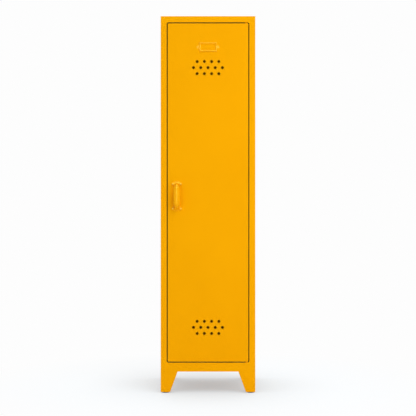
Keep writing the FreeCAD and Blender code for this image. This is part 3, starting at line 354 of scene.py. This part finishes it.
def lofted(rings, ends_meet=False, sharp_over=35):
    """Closed mesh through rows of points, capped at both ends or joined from the last to the first."""
    shape = bmesh.new()
    rows = [[shape.verts.new(point) for point in ring] for ring in rings]
    for lower, upper in zip(rows, rows[1:] + rows[:1] * ends_meet):
        for step in range(len(lower)):
            after = (step + 1) % len(lower)
            shape.faces.new((lower[step], lower[after], upper[after], upper[step]))
    if not ends_meet:
        shape.faces.new(rows[0][::-1])
        shape.faces.new(rows[-1])
    bmesh.ops.recalc_face_normals(shape, faces=shape.faces)
    return finished_mesh(shape, sharp_over)


def leg_mesh():
    """One leg standing in the corner of the X and Y axes, open on its two inner sides."""
    turns = (math.pi / 2 * step / FOOT_STEPS for step in range(FOOT_STEPS + 1))
    levels = [(LEG_BASE + FOOT_ROUND * (1 - math.cos(turn)), FOOT_ROUND * (1 - math.sin(turn)))
              for turn in turns]
    rings = []
    for height, inset in levels + [(LEG_HEAD, 0.0)]:
        reach = LEG_FOOT + (LEG_TOP - LEG_FOOT) * (height - LEG_BASE) / (LEG_HEAD - LEG_BASE)
        outline = rounded_rectangle((inset, inset), (reach - inset, reach - inset), LEG_BEND)
        rings.append([(x, y, height) for x, y in outline])
    near, far = LEG_SHEET, 2 * LEG_TOP
    room = [[(x, y, z) for x, y in ((near, near), (far, near), (far, far), (near, far))]
            for z in (LEG_BASE + FOOT_PLATE, LEG_HEAD - LEG_SHEET)]
    return boolean_cut(lofted(rings), lofted(room))


for corner, turn in CORNERS.items():
    low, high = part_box(f"{corner}_leg")
    spot = (low.x if "left" in corner else high.x, low.y if "front" in corner else high.y, 0.0)
    mesh = leg_mesh()
    mesh.transform(Matrix.Translation(spot) @ Matrix.Rotation(math.radians(turn), 4, "Z"))
    settle(add_piece(f"{corner}_leg_shell", mesh, leg_coat), "carcass", "leg_paint", f"{corner}_leg")
dress(leg_coat, *(f"{corner}_gusset" for corner in CORNERS))

# Leg bolts and nuts: hexagon bolts pushed up through each leg's top plate into nuts on the gussets.
# Bright zinc plate with a faint cloudy passivation.
BOLT_PITCHES = ((0.408, 0.334), (0.336, 0.406))
BOLT_ACROSS, BOLT_RADIUS, BOLT_BEVEL = 0.013, 0.004, 0.0006
BORE_ROOM, BOLT_TURN = 0.00005, 2.0
HEXAGON_ROWS = ((0.96, 0.0), (1.0, 0.04), (1.0, 0.84), (0.90, 1.0))
ZINC_GREY = (0.66, 0.66, 0.63)
CLOUD_SCALE, CLOUD_SPAN, CLOUD_DARK, CLOUD_DULL = 180.0, (0.35, 0.65), 0.72, 0.14
SCRATCH_SCALE, SCRATCH_STRENGTH, SCRATCH_DEPTH = 1400.0, 0.12, 0.0001
TO_FLOOR = (math.pi, 0.0, 0.0)
bolt_low, bolt_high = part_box("leg_bolts")
nut_low, nut_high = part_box("leg_nuts")
base_middle_y = (leg_low.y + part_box("rear_left_leg")[1].y) / 2
plate_under = LEG_HEAD - LEG_SHEET
head_tall, shank_long = plate_under - bolt_low.z, bolt_high.z - plate_under


def zinc_plate(name, colour, roughness, bright=1.0):
    """Plated steel: cloudy colour, fine scratches and a soft sheen, duller under a passive film."""
    material, tree, shader, place = new_finish(name)
    clouds = remap(tree, noise(tree, place, CLOUD_SCALE, detail=3.0), *CLOUD_SPAN)
    darker = tuple(CLOUD_DARK * part for part in colour) + (1.0,)
    tree.links.new(blend_colour(tree, clouds, darker, colour + (1.0,)), shader.inputs["Base Color"])
    sheen = remap(tree, clouds, 0.0, 1.0, roughness, roughness + CLOUD_DULL)
    tree.links.new(sheen, shader.inputs["Roughness"])
    shader.inputs["Metallic"].default_value = bright
    roughen(tree, shader, noise(tree, place, SCRATCH_SCALE), SCRATCH_STRENGTH, SCRATCH_DEPTH)
    return material


def hexagon_part(across, tall):
    """Hexagon head or nut blank standing on its seat at zero, with chamfered corners."""
    reach = across / 2 / math.cos(math.pi / 6)
    turns = (math.pi / 3 * step for step in range(6))
    corners = [(reach * math.cos(turn), reach * math.sin(turn)) for turn in turns]
    return lofted([[(share * x, share * y, rise * tall) for x, y in corners] for share, rise in HEXAGON_ROWS])


def threaded_nut(across, tall, bore, over=0.001):
    """Hexagon nut with a round bore."""
    drill = turned([(0, -over), (bore, -over), (bore, tall + over), (0, tall + over)], steps=24)
    return boolean_cut(hexagon_part(across, tall), drill)


def joined(name, pieces):
    """One object from several finished ones."""
    shape = bmesh.new()
    for piece in pieces:
        shape.from_mesh(piece.data)
    mesh = bpy.data.meshes.new(name)
    shape.to_mesh(mesh)
    shape.free()
    whole = add_piece(name, mesh, pieces[0].data.materials[0])
    for piece in pieces:
        bpy.data.objects.remove(piece)
    return whole


zinc = zinc_plate("zinc_plate", ZINC_GREY, roughness=0.30)
bolt_shape = bmesh.new()
bolt_shape.from_mesh(hexagon_part(BOLT_ACROSS, head_tall))
bolt_shape.from_mesh(turned([(0, -shank_long), (BOLT_RADIUS - BOLT_BEVEL, -shank_long),
                             (BOLT_RADIUS, BOLT_BEVEL - shank_long), (BOLT_RADIUS, head_tall / 2),
                             (0, head_tall / 2)], steps=24))
bolt = finished_mesh(bolt_shape)
bolts = joined("leg_bolt_heads", [
    repeat(f"leg_bolts_{step}", bolt, zinc, (0, base_middle_y, plate_under), columns=2, rows=2, pitch=pitch,
           facing=TO_FLOOR, turn=BOLT_TURN)
    for step, pitch in enumerate(BOLT_PITCHES)])
settle(bolts, "carcass", "zinc_steel", "leg_bolts")
nut = threaded_nut(BOLT_ACROSS, nut_high.z - nut_low.z, BOLT_RADIUS + BORE_ROOM)
nuts = joined("leg_nut_set", [
    repeat(f"leg_nuts_{step}", nut, zinc, (0, base_middle_y, nut_low.z), columns=2, rows=2, pitch=pitch,
           turn=BOLT_TURN)
    for step, pitch in enumerate(BOLT_PITCHES)])
settle(nuts, "carcass", "zinc_steel", "leg_nuts")

# Foot glides: round discs of dark plastic with a rounded lower edge.
# Each is moulded with a stem, which is pushed up into a hole in the leg's closed foot.
GLIDE_BLACK = (0.022, 0.021, 0.020)
GLIDE_EDGE = ((0.0161, 0.0), (0.0173, 0.0004), (0.0181, 0.0013), (0.0185, 0.0026), (0.0185, 0.0036),
              (0.0181, LEG_BASE))
STEM_RADIUS = 0.004
MOTTLE_SCALE, MOTTLE_SPAN, MOTTLE_DARK, MOTTLE_DULL = 120.0, (0.3, 0.7), 0.7, 0.08
GRAIN_SCALE, GRAIN_STRENGTH, GRAIN_DEPTH = 900.0, 0.18, 0.00015
glide_low, glide_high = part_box("front_left_glide")
glide_pitch = (-(glide_low.x + glide_high.x), 2 * base_middle_y - (glide_low.y + glide_high.y))


def moulded(name, colour, roughness, grain=GRAIN_SCALE):
    """Moulded plastic or rubber: slight mottling and a fine matt grain."""
    material, tree, shader, place = new_finish(name)
    mottle = remap(tree, noise(tree, place, MOTTLE_SCALE, detail=3.0), *MOTTLE_SPAN)
    darker = tuple(MOTTLE_DARK * part for part in colour) + (1.0,)
    tree.links.new(blend_colour(tree, mottle, darker, colour + (1.0,)), shader.inputs["Base Color"])
    matt = remap(tree, mottle, 0.0, 1.0, roughness - MOTTLE_DULL, roughness + MOTTLE_DULL)
    tree.links.new(matt, shader.inputs["Roughness"])
    roughen(tree, shader, noise(tree, place, grain), GRAIN_STRENGTH, GRAIN_DEPTH)
    return material


disc = turned([(0, 0.0), *GLIDE_EDGE, (STEM_RADIUS, LEG_BASE), (STEM_RADIUS, glide_high.z),
               (0, glide_high.z)], steps=40)
glide_plastic = moulded("glide_plastic", GLIDE_BLACK, roughness=0.55)
glides = repeat("foot_glides", disc, glide_plastic, (0, base_middle_y, 0), columns=2, rows=2,
                pitch=glide_pitch)
settle(glides, "carcass", "glide_rubber", *(f"{corner}_glide" for corner in CORNERS))

# Hat shelf: a tray folded from sheet, with its edges turned down.
# It rests on two angle brackets welded to the sides, and all three are coated like the casing.
dress(powder_coat("shelf_coat", shift=8.9), "hat_shelf", "left_shelf_bracket", "right_shelf_bracket")

# Hanging rail: bright chromed steel tube with its ends pushed into two cups.
# The cups are turned with a wide flange, which is fixed to the sides under the shelf.
CHROME = (0.78, 0.79, 0.81)
RAIL_RADIUS, RAIL_BEVEL, RAIL_END = 0.009, 0.0006, 0.0082
RAIL_CUP = ((0, 0.0), (0.0206, 0.0), (0.0210, 0.0005), (0.0206, 0.0014), (0.0190, 0.0020), (0.0132, 0.0021),
            (0.0120, 0.0032), (0.0115, 0.0050), (0.0115, 0.0153), (0.0110, 0.0160), (0.0097, 0.0160),
            (0.00902, 0.0155), (0.00902, 0.0022), (0, 0.0022))
TO_RIGHT, TO_LEFT = (0.0, math.pi / 2, 0.0), (0.0, -math.pi / 2, 0.0)
chrome = zinc_plate("bright_chrome", CHROME, roughness=0.10)
rail_low, rail_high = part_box("hanging_rail")
rail_y, rail_z = (rail_low.y + rail_high.y) / 2, (rail_low.z + rail_high.z) / 2
rail_half = rail_high.x
tube = turned([(0, -rail_half), (RAIL_END, -rail_half), (RAIL_RADIUS, RAIL_BEVEL - rail_half),
               (RAIL_RADIUS, rail_half - RAIL_BEVEL), (RAIL_END, rail_half), (0, rail_half)], steps=48)
rail = repeat("hanging_rail_tube", tube, chrome, (0, rail_y, rail_z), facing=TO_RIGHT)
settle(rail, "carcass", "rail_chrome", "hanging_rail")
cup_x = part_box("right_rail_socket")[1].x
for side, x, facing in (("left", -cup_x, TO_RIGHT), ("right", cup_x, TO_LEFT)):
    cup = repeat(f"{side}_rail_cup", turned(RAIL_CUP, steps=48), chrome, (x, rail_y, rail_z), facing=facing)
    settle(cup, "carcass", "rail_chrome", f"{side}_rail_socket")

# Hinge: headed steel pins fixed in the jamb above and below the door, and coated with it.
# Flanged bushes of yellow nylon, held in the door's corners, turn on them.
NYLON_YELLOW = (0.95, 0.43, 0.01)
dress(casing_coat, "upper_hinge_pin", "lower_hinge_pin")
dress(moulded("bush_nylon", NYLON_YELLOW, roughness=0.45), "upper_hinge_bush", "lower_hinge_bush")

# Magnetic catch: moulded pale housing with a dull ferrite magnet in its face.
# Two zinc-plated screws hold it behind the jamb's lip.
CATCH_PALE, FERRITE_GREY = (0.62, 0.60, 0.55), (0.06, 0.06, 0.065)
dress(moulded("catch_shell", CATCH_PALE, roughness=0.42), "catch_housing")
dress(moulded("ferrite", FERRITE_GREY, roughness=0.50, grain=1600.0), "catch_magnet")
dress(zinc, "catch_screws")

# Door buffers: soft discs of black rubber.
# They are stuck to the lip that the door closes against.
RUBBER_BLACK = (0.03, 0.03, 0.03)
dress(moulded("soft_rubber", RUBBER_BLACK, roughness=0.75), "door_buffers")

# Door: flush sheet folded back on four sides, with an upright channel welded inside and a drilled block
# in each hinge corner. Coated with the casing; its edges in the slit get the same painted olive shade as the
# jamb.
DOOR_GAP, DOOR_EDGE = 0.004, 0.0009
door_inset = DOOR_GAP + DOOR_EDGE
door_slit = (OPENING_HALF - door_inset, OPENING_LOW + door_inset, OPENING_HIGH - door_inset, False)
dress(powder_coat("door_coat", shift=1.9, slit=door_slit), "door_skin")
dress(powder_coat("door_inner_coat", shift=5.2), "door_stiffener", "upper_pivot_block", "lower_pivot_block")

# Vent rims: each round vent is punched from inside, which leaves a low rolled lip round the hole. Its inner
# slope is painted near black as shade at the hole's edge.
RIM_ROWS = ((0.0060, 0.0, 1.0), (0.0060, 0.0002, 1.0), (0.0067, 0.0003, 1.0), (0.0069, 0.0003, 0.0),
            (0.0072, 0.0002, 0.0), (0.0076, 0.0, 0.0))
RIM_TURNS = [2 * math.pi * step / 32 for step in range(32)]
VENT_PITCH, VENT_ROW = 0.0346, 0.029
VENT_HEIGHTS = {"upper": 1.554, "lower": 0.313}
rim = lofted([[(radius * math.cos(turn), radius * math.sin(turn), out) for turn in RIM_TURNS]
              for radius, out, rim_shade in RIM_ROWS], ends_meet=True, sharp_over=60)
# Share of painted shade on each ring: the rim's inner slope is painted near black.
painted_rim_shade = rim.attributes.new("painted_rim_shade", "FLOAT", "POINT")
painted_rim_shade.data.foreach_set("value", [rim_shade for radius, out, rim_shade in RIM_ROWS for turn in RIM_TURNS])
rim_coat = powder_coat("rim_coat", shift=1.9, rim_shade="painted_rim_shade")
vents = []
for group, height in VENT_HEIGHTS.items():
    for row, columns, rows, row_pitch in (("outer", 4, 2, 2 * VENT_ROW), ("middle", 5, 1, 0.0)):
        vents.append(repeat(f"{group}_vents_{row}", rim, rim_coat, (0, FRONT_Y, height), columns, rows,
                            pitch=(VENT_PITCH, row_pitch), facing=TO_FRONT))
settle(joined("vent_rims", vents), "door", "door_paint")

# Pull handle: a cast bow that swells from two necks into a flat oval grip, on two domed oval feet.
# Coated with the door; hands have rubbed the bow smooth and glossy, and the feet stay dull.
PALE_GLEAM = (1.0, 0.82, 0.13, 1.0)
FOOT_RISE, FOOT_HALF, FOOT_TALL = 0.059, 0.026, 0.0125
FOOT_DOME = ((0.0, 0.0), (0.0, 0.0009), (0.0006, 0.0017), (0.0016, 0.0024), (0.0032, 0.0030),
             (0.0050, 0.0034), (0.0072, 0.0040), (0.0095, 0.0049), (0.0113, 0.0056), (0.0122, 0.0058))
GRIP_HALF, GRIP_THICK, BEND = 0.0150, 0.0056, 0.023
NECK_HALF, NECK_THICK, NECK_START = 0.0062, 0.0052, 0.002
FLARE, FLARE_LONG, FLARE_CURVE = 0.0020, 0.0060, 2.2
FLARE_WIDER, FLARE_THICKER = 1.5, 0.75
SINK, DULL_UNTIL, DULL_FADE = 0.00005, 0.004, 0.006
BOW_TURNS = [2 * math.pi * step / 40 for step in range(40)]
FOOT_TURNS = [2 * math.pi * step / 56 for step in range(56)]
NECK_STEPS, BEND_STEPS, GRIP_STEPS = 8, 14, 8
SWELL_FROM, SWELL_STEPS = 4, 11
handle_low, handle_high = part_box("pull_handle")
handle_x, handle_z = (handle_low.x + handle_high.x) / 2, (handle_low.z + handle_high.z) / 2
handle_reach = FRONT_Y - handle_low.y - SINK


def ease(share):
    """Smooth start and stop between 0 and 1."""
    share = min(max(share, 0.0), 1.0)
    return share * share * (3 - 2 * share)


def handle_sections():
    """Sections of the bow from the lower foot up: centre out and up, lean, half width, half thickness."""
    grip_out = handle_reach - GRIP_THICK
    neck_out = grip_out - BEND
    half = []
    for step in range(NECK_STEPS + 1):
        out = NECK_START + (neck_out - NECK_START) * step / NECK_STEPS
        flare = FLARE * max(0.0, 1 - (out - NECK_START) / FLARE_LONG) ** FLARE_CURVE
        half.append((out, -FOOT_RISE, 0.0,
                     NECK_HALF + FLARE_WIDER * flare, NECK_THICK + FLARE_THICKER * flare))
    for step in range(1, BEND_STEPS + 1):
        lean = math.pi / 2 * step / BEND_STEPS
        swell = ease((step - SWELL_FROM) / SWELL_STEPS)
        half.append((neck_out + BEND * math.sin(lean), -FOOT_RISE + BEND * (1 - math.cos(lean)), lean,
                     NECK_HALF + (GRIP_HALF - NECK_HALF) * swell,
                     NECK_THICK + (GRIP_THICK - NECK_THICK) * swell))
    straight = FOOT_RISE - BEND
    for step in range(1, GRIP_STEPS + 1):
        half.append((grip_out, -straight * (1 - step / GRIP_STEPS), math.pi / 2, GRIP_HALF, GRIP_THICK))
    other = [(out, -rise, math.pi - lean, wide, thick) for out, rise, lean, wide, thick in half[-2::-1]]
    return half + other


def handle_mesh():
    """Bow and feet as one mesh in place on the door, with the dull share of each point."""
    rings, dull = [], []
    for out, rise, lean, wide, thick in handle_sections():
        dull += [1 - ease((out - DULL_UNTIL) / DULL_FADE)] * len(BOW_TURNS)
        rings.append([(handle_x + wide * math.cos(turn),
                       FRONT_Y - out - thick * math.sin(turn) * math.sin(lean),
                       handle_z + rise - thick * math.sin(turn) * math.cos(lean)) for turn in BOW_TURNS])
    shape = bmesh.new()
    shape.from_mesh(lofted(rings))
    for foot_z in (handle_z - FOOT_RISE, handle_z + FOOT_RISE):
        shape.from_mesh(lofted([[(handle_x + (FOOT_HALF - inset) * math.cos(turn), FRONT_Y - out,
                                  foot_z + (FOOT_TALL - inset) * math.sin(turn)) for turn in FOOT_TURNS]
                                for inset, out in FOOT_DOME]))
    mesh = finished_mesh(shape, sharp_over=50)
    foot_share = mesh.attributes.new("foot", "FLOAT", "POINT")
    foot_share.data.foreach_set("value", dull + [1.0] * (len(mesh.vertices) - len(dull)))
    return mesh


handle_coat = powder_coat("handle_coat", shift=4.4, gloss=(0.20, 0.24), sheen=0.3, gleam=PALE_GLEAM,
                          peel=0.01, dull="foot")
handle = add_piece("handle_bow", handle_mesh(), handle_coat)
settle(handle, "door", "handle_paint", "pull_handle")

# Handle screws and nuts: pan-head screws with a cross recess through the feet, and hexagon nuts inside the
# door. Yellow passivated zinc outside, plain zinc inside.
SCREW_YELLOW = (1.0, 0.58, 0.03)
SCREW_PITCH, SCREW_TURN, NUT_ACROSS = (0.038, 0.118), 1.5, 0.007
SCREW_RADIUS, SCREW_LONG, SCREW_SEAT = 0.002, 0.0092, 0.0035
PAN_HEAD = ((0.0040, 0.0), (0.00405, 0.0009), (0.0038, 0.0016), (0.0031, 0.0022), (0.0020, 0.0025),
            (0, 0.0026))
CROSS_LONG, CROSS_WIDE, CROSS_TALL, CROSS_MIDDLE = 0.0042, 0.0009, 0.0034, 0.0029
TO_BACK = (-math.pi / 2, 0.0, 0.0)
pan = turned([(0, -SCREW_LONG), (SCREW_RADIUS, -SCREW_LONG), (SCREW_RADIUS, 0.0), *PAN_HEAD], steps=32)
cross = bmesh.new()
for wide, deep in ((CROSS_LONG, CROSS_WIDE), (CROSS_WIDE, CROSS_LONG)):
    bar = bmesh.ops.create_cube(cross, size=1.0)["verts"]
    bmesh.ops.scale(cross, verts=bar, vec=(wide, deep, CROSS_TALL))
    bmesh.ops.translate(cross, verts=bar, vec=(0, 0, CROSS_MIDDLE))
screw = boolean_cut(pan, finished_mesh(cross))
yellow_zinc = zinc_plate("yellow_zinc", SCREW_YELLOW, roughness=0.34, bright=0.35)
screw_spot = (handle_x, FRONT_Y - SCREW_SEAT, handle_z)
screws = repeat("handle_screw_set", screw, yellow_zinc, screw_spot, columns=2, rows=2, pitch=SCREW_PITCH,
                facing=TO_FRONT, turn=SCREW_TURN)
settle(screws, "door", "screw_steel", "handle_screws")
handle_nut_low, handle_nut_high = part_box("handle_nuts")
handle_nut = threaded_nut(NUT_ACROSS, handle_nut_high.y - handle_nut_low.y, SCREW_RADIUS + BORE_ROOM)
nut_spot = (handle_x, handle_nut_low.y, handle_z)
handle_nuts = repeat("handle_nut_set", handle_nut, zinc, nut_spot, columns=2, rows=2, pitch=SCREW_PITCH,
                     facing=TO_BACK, turn=SCREW_TURN)
settle(handle_nuts, "door", "zinc_steel", "handle_nuts")

# Label holder: half-round frame pressed from sheet round an open window, coated with the door and held by
# a rivet through each ear. The rivets are painted over.
RIVET_YELLOW = (1.0, 0.47, 0.01)
LABEL_HALF, LABEL_ROUND, LEAST_ROUND = 0.043, 0.0022, 0.0004
STRIP_ROUND, STRIP_PROUD, STRIP_STEPS = 0.004, 0.004, 14
EAR, EAR_TALL, EAR_ROUND, EAR_LAP = 0.001, 0.0065, 0.004, 0.003
EAR_ROWS = ((0.0, 0.0), (0.0, 0.7 * EAR), (0.0003, EAR))
RIVET = ((0, -0.0033), (0.0019, -0.0033), (0.0030, -0.0027), (0.0032, -0.0020), (0.0016, -0.0020),
         (0.0016, 0.0), (0.0032, 0.0), (0.0031, 0.0005), (0.0026, 0.0010), (0.0016, 0.00125), (0, 0.0013))
RIVET_PITCH = (0.097, 0.0)
label_low, label_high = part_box("label_holder")
label_z, label_tall = (label_low.z + label_high.z) / 2, (label_high.z - label_low.z) / 2


def on_door(low, high, radius, out):
    """Points of a rounded rectangle set against the door at the label's height."""
    return [(x, FRONT_Y - out, label_z + z) for x, z in rounded_rectangle(low, high, radius)]


strip_rows = []
for turn in (math.pi * step / STRIP_STEPS for step in range(STRIP_STEPS + 1)):
    inset = STRIP_ROUND * (1 - math.cos(turn))
    half, tall = LABEL_HALF - inset, label_tall - inset
    strip_rows.append(on_door((-half, -tall), (half, tall), max(LEAST_ROUND, LABEL_ROUND - inset),
                              STRIP_PROUD * math.sin(turn)))
holder_shape = bmesh.new()
holder_shape.from_mesh(lofted(strip_rows, ends_meet=True, sharp_over=60))
for left, right in ((label_low.x, EAR_LAP - LABEL_HALF), (LABEL_HALF - EAR_LAP, label_high.x)):
    holder_shape.from_mesh(lofted([
        on_door((left + inset, inset - EAR_TALL), (right - inset, EAR_TALL - inset), EAR_ROUND - inset, out)
        for inset, out in EAR_ROWS]))
label_coat = powder_coat("label_coat", shift=2.7, gloss=(0.28, 0.32), sheen=0.65, gleam=PALE_GLEAM, peel=0.01)
holder = add_piece("label_frame", finished_mesh(holder_shape, sharp_over=40), label_coat)
settle(holder, "door", "label_paint", "label_holder")
rivet_tin = zinc_plate("rivet_tin", RIVET_YELLOW, roughness=0.50, bright=0.3)
rivets = repeat("label_rivet_set", turned(RIVET, steps=28), rivet_tin, (0, FRONT_Y - EAR, label_z), columns=2,
                pitch=RIVET_PITCH, facing=TO_FRONT)
settle(rivets, "door", "rivet_metal", "label_rivets")

# Strike plate: flat strip of zinc-plated steel.
# It is welded to the door's rear lip, where it meets the magnet.
dress(zinc, "strike_plate")

# Floor: wide matt paper sweep that fades into the white background. The camera, gloss and glass see it lit up
# to that white; near the locker they see mostly a painted shadow drawn from ambient occlusion, with a little
# of the shadow that the lamps cast. The light that it throws back is plain.
BACKGROUND, FLOOR_REACH = 0.983, 30.0
# The shaded floor colour is a painted brightening: bluish and above 1, it cancels the yellow light that the
# locker throws on the floor.
FLOOR_MATT, FLOOR_SHADED = (0.95, 0.95, 0.95, 1.0), (0.97, 1.225, 1.43, 1.0)
CONTACT_REACH, CONTACT_SHARE, CONTACT_OPEN = 0.45, 0.50, 0.95
FADE_SPAN, GLOW_NEAR = (0.4, 1.2), 0.85
WHITE = (1.0, 1.0, 1.0, 1.0)


def sees_background(tree):
    """1 for the camera's rays and for those seen in gloss or through glass, 0 for light thrown on things."""
    path = add_node(tree, "ShaderNodeLightPath").outputs
    mirrored = maths(tree, "MAXIMUM", path["Is Glossy Ray"], path["Is Transmission Ray"])
    return maths(tree, "MAXIMUM", path["Is Camera Ray"], mirrored)


def mixed_shader(tree, share, first, second):
    """Mix of two shaders."""
    return add_node(tree, "ShaderNodeMixShader", inputs={0: share, 1: first, 2: second}).outputs[0]


floor_shape = bmesh.new()
bmesh.ops.create_grid(floor_shape, x_segments=1, y_segments=1, size=FLOOR_REACH)
sweep = bpy.data.materials.new("pale_sweep")
sweep.use_nodes = True
tree = sweep.node_tree
tree.nodes.remove(tree.nodes["Principled BSDF"])
here = add_node(tree, "ShaderNodeTexCoord").outputs["Object"]
away = add_node(tree, "ShaderNodeVectorMath", {"operation": "LENGTH"}, {0: here}).outputs["Value"]
matt = add_node(tree, "ShaderNodeBsdfDiffuse", inputs={"Color": FLOOR_MATT}).outputs[0]
shaded = add_node(tree, "ShaderNodeBsdfDiffuse", inputs={"Color": FLOOR_SHADED}).outputs[0]
corner_shade = add_node(tree, "ShaderNodeAmbientOcclusion", {"samples": 8}, {"Distance": CONTACT_REACH})
# Painted shadow: the floor's glow dims with ambient occlusion near the locker.
painted_contact_shadow = remap(tree, corner_shade.outputs["AO"], 0.0, CONTACT_OPEN, CONTACT_SHARE * BACKGROUND, BACKGROUND)
glow = add_node(tree, "ShaderNodeEmission", inputs={"Color": WHITE, "Strength": painted_contact_shadow}).outputs[0]
lit = mixed_shader(tree, remap(tree, away, *FADE_SPAN, GLOW_NEAR, 1.0), shaded, glow)
shown = mixed_shader(tree, sees_background(tree), matt, lit)
tree.links.new(shown, tree.nodes["Material Output"].inputs["Surface"])
add_piece("floor", finished_mesh(floor_shape), sweep)

# Studio light: an even white surround, a large soft box high on the right as key, a strip close on the right,
# two low fills in front and one lamp behind. The gleam lamps are small boxes in front of the door that show
# only in the gloss of the handle, the label holder and the screws.
SURROUND = 0.375
LAMP_AIM = Vector((0.0, FRONT_Y, 1.0))
world = bpy.data.worlds.new("studio")
bpy.context.scene.world = world
world.use_nodes = True
tree = world.node_tree
around = tree.nodes["Background"]
around.inputs["Color"].default_value = WHITE
around.inputs["Strength"].default_value = SURROUND
seen = add_node(tree, "ShaderNodeBackground", inputs={"Color": WHITE, "Strength": BACKGROUND})
shown = mixed_shader(tree, sees_background(tree), around.outputs[0], seen.outputs[0])
tree.links.new(shown, tree.nodes["World Output"].inputs["Surface"])


def soft_box(name, spot, size, power, glossy=True, catchers=()):
    """Rectangular lamp turned towards the door; with catchers, it shows only in the gloss of those pieces."""
    lamp = bpy.data.lights.new(name, "AREA")
    lamp.shape = "RECTANGLE"
    lamp.size, lamp.size_y = size
    lamp.energy = power
    box = bpy.data.objects.new(name, lamp)
    box.location = spot
    box.rotation_euler = (LAMP_AIM - Vector(spot)).to_track_quat("-Z", "Y").to_euler()
    box.visible_glossy = glossy
    if catchers:
        box.visible_diffuse = False
        box.light_linking.receiver_collection = bpy.data.collections.new(f"{name}_catchers")
    for piece in catchers:
        box.light_linking.receiver_collection.objects.link(piece)
    bpy.context.scene.collection.objects.link(box)


soft_box("high_box", (2.5, -4.9, 7.6), (3.5, 3.5), 265.0)
soft_box("right_strip", (1.15, -1.2, 1.2), (0.4, 3.0), 6.2, glossy=False)
soft_box("left_fill", (-4.2, -6.8, 0.9), (1.5, 3.0), 64.5, glossy=False)
soft_box("right_fill", (2.6, -7.6, 0.8), (1.5, 3.0), 53.0, glossy=False)
soft_box("back_box", (-0.9, 5.8, 4.6), (3.0, 3.0), 150.0, glossy=False)
soft_box("front_gleam", (-0.32, -4.6, 1.4), (0.25, 1.6), 64.0, catchers=(handle,))
soft_box("upper_gleam", (-0.15, -3.5, 2.75), (0.6, 2.0), 62.0, catchers=(holder, screws))
soft_box("bend_gleam", (-0.20, -3.5, 2.75), (0.4, 1.6), 180.0, catchers=(handle,))
soft_box("top_gleam", (-0.2, -1.0, 3.8), (0.7, 3.0), 90.0, catchers=(handle,))
soft_box("right_gleam", (4.0, -3.2, 2.55), (2.5, 0.8), 90.0, catchers=(screws, holder))

# Camera: level, straight in front of the door, at the photograph's distance and framing.
# Its focal length is given in pixels of the photograph's width; depth of field stays off.
FRAME_PIXELS, FOCAL_PIXELS, SENSOR = 416, 1046.7, 36.0
DISTANCE, EYE = 5.0, 0.8834
lens = bpy.data.cameras.new("camera")
lens.sensor_width = SENSOR
lens.lens = SENSOR * FOCAL_PIXELS / FRAME_PIXELS
camera = bpy.data.objects.new("camera", lens)
camera.location = (0.0, FRONT_Y - DISTANCE, EYE)
camera.rotation_euler = (math.pi / 2, 0.0, 0.0)
bpy.context.scene.collection.objects.link(camera)
bpy.context.scene.camera = camera
bpy.context.scene.view_settings.view_transform = "Standard"
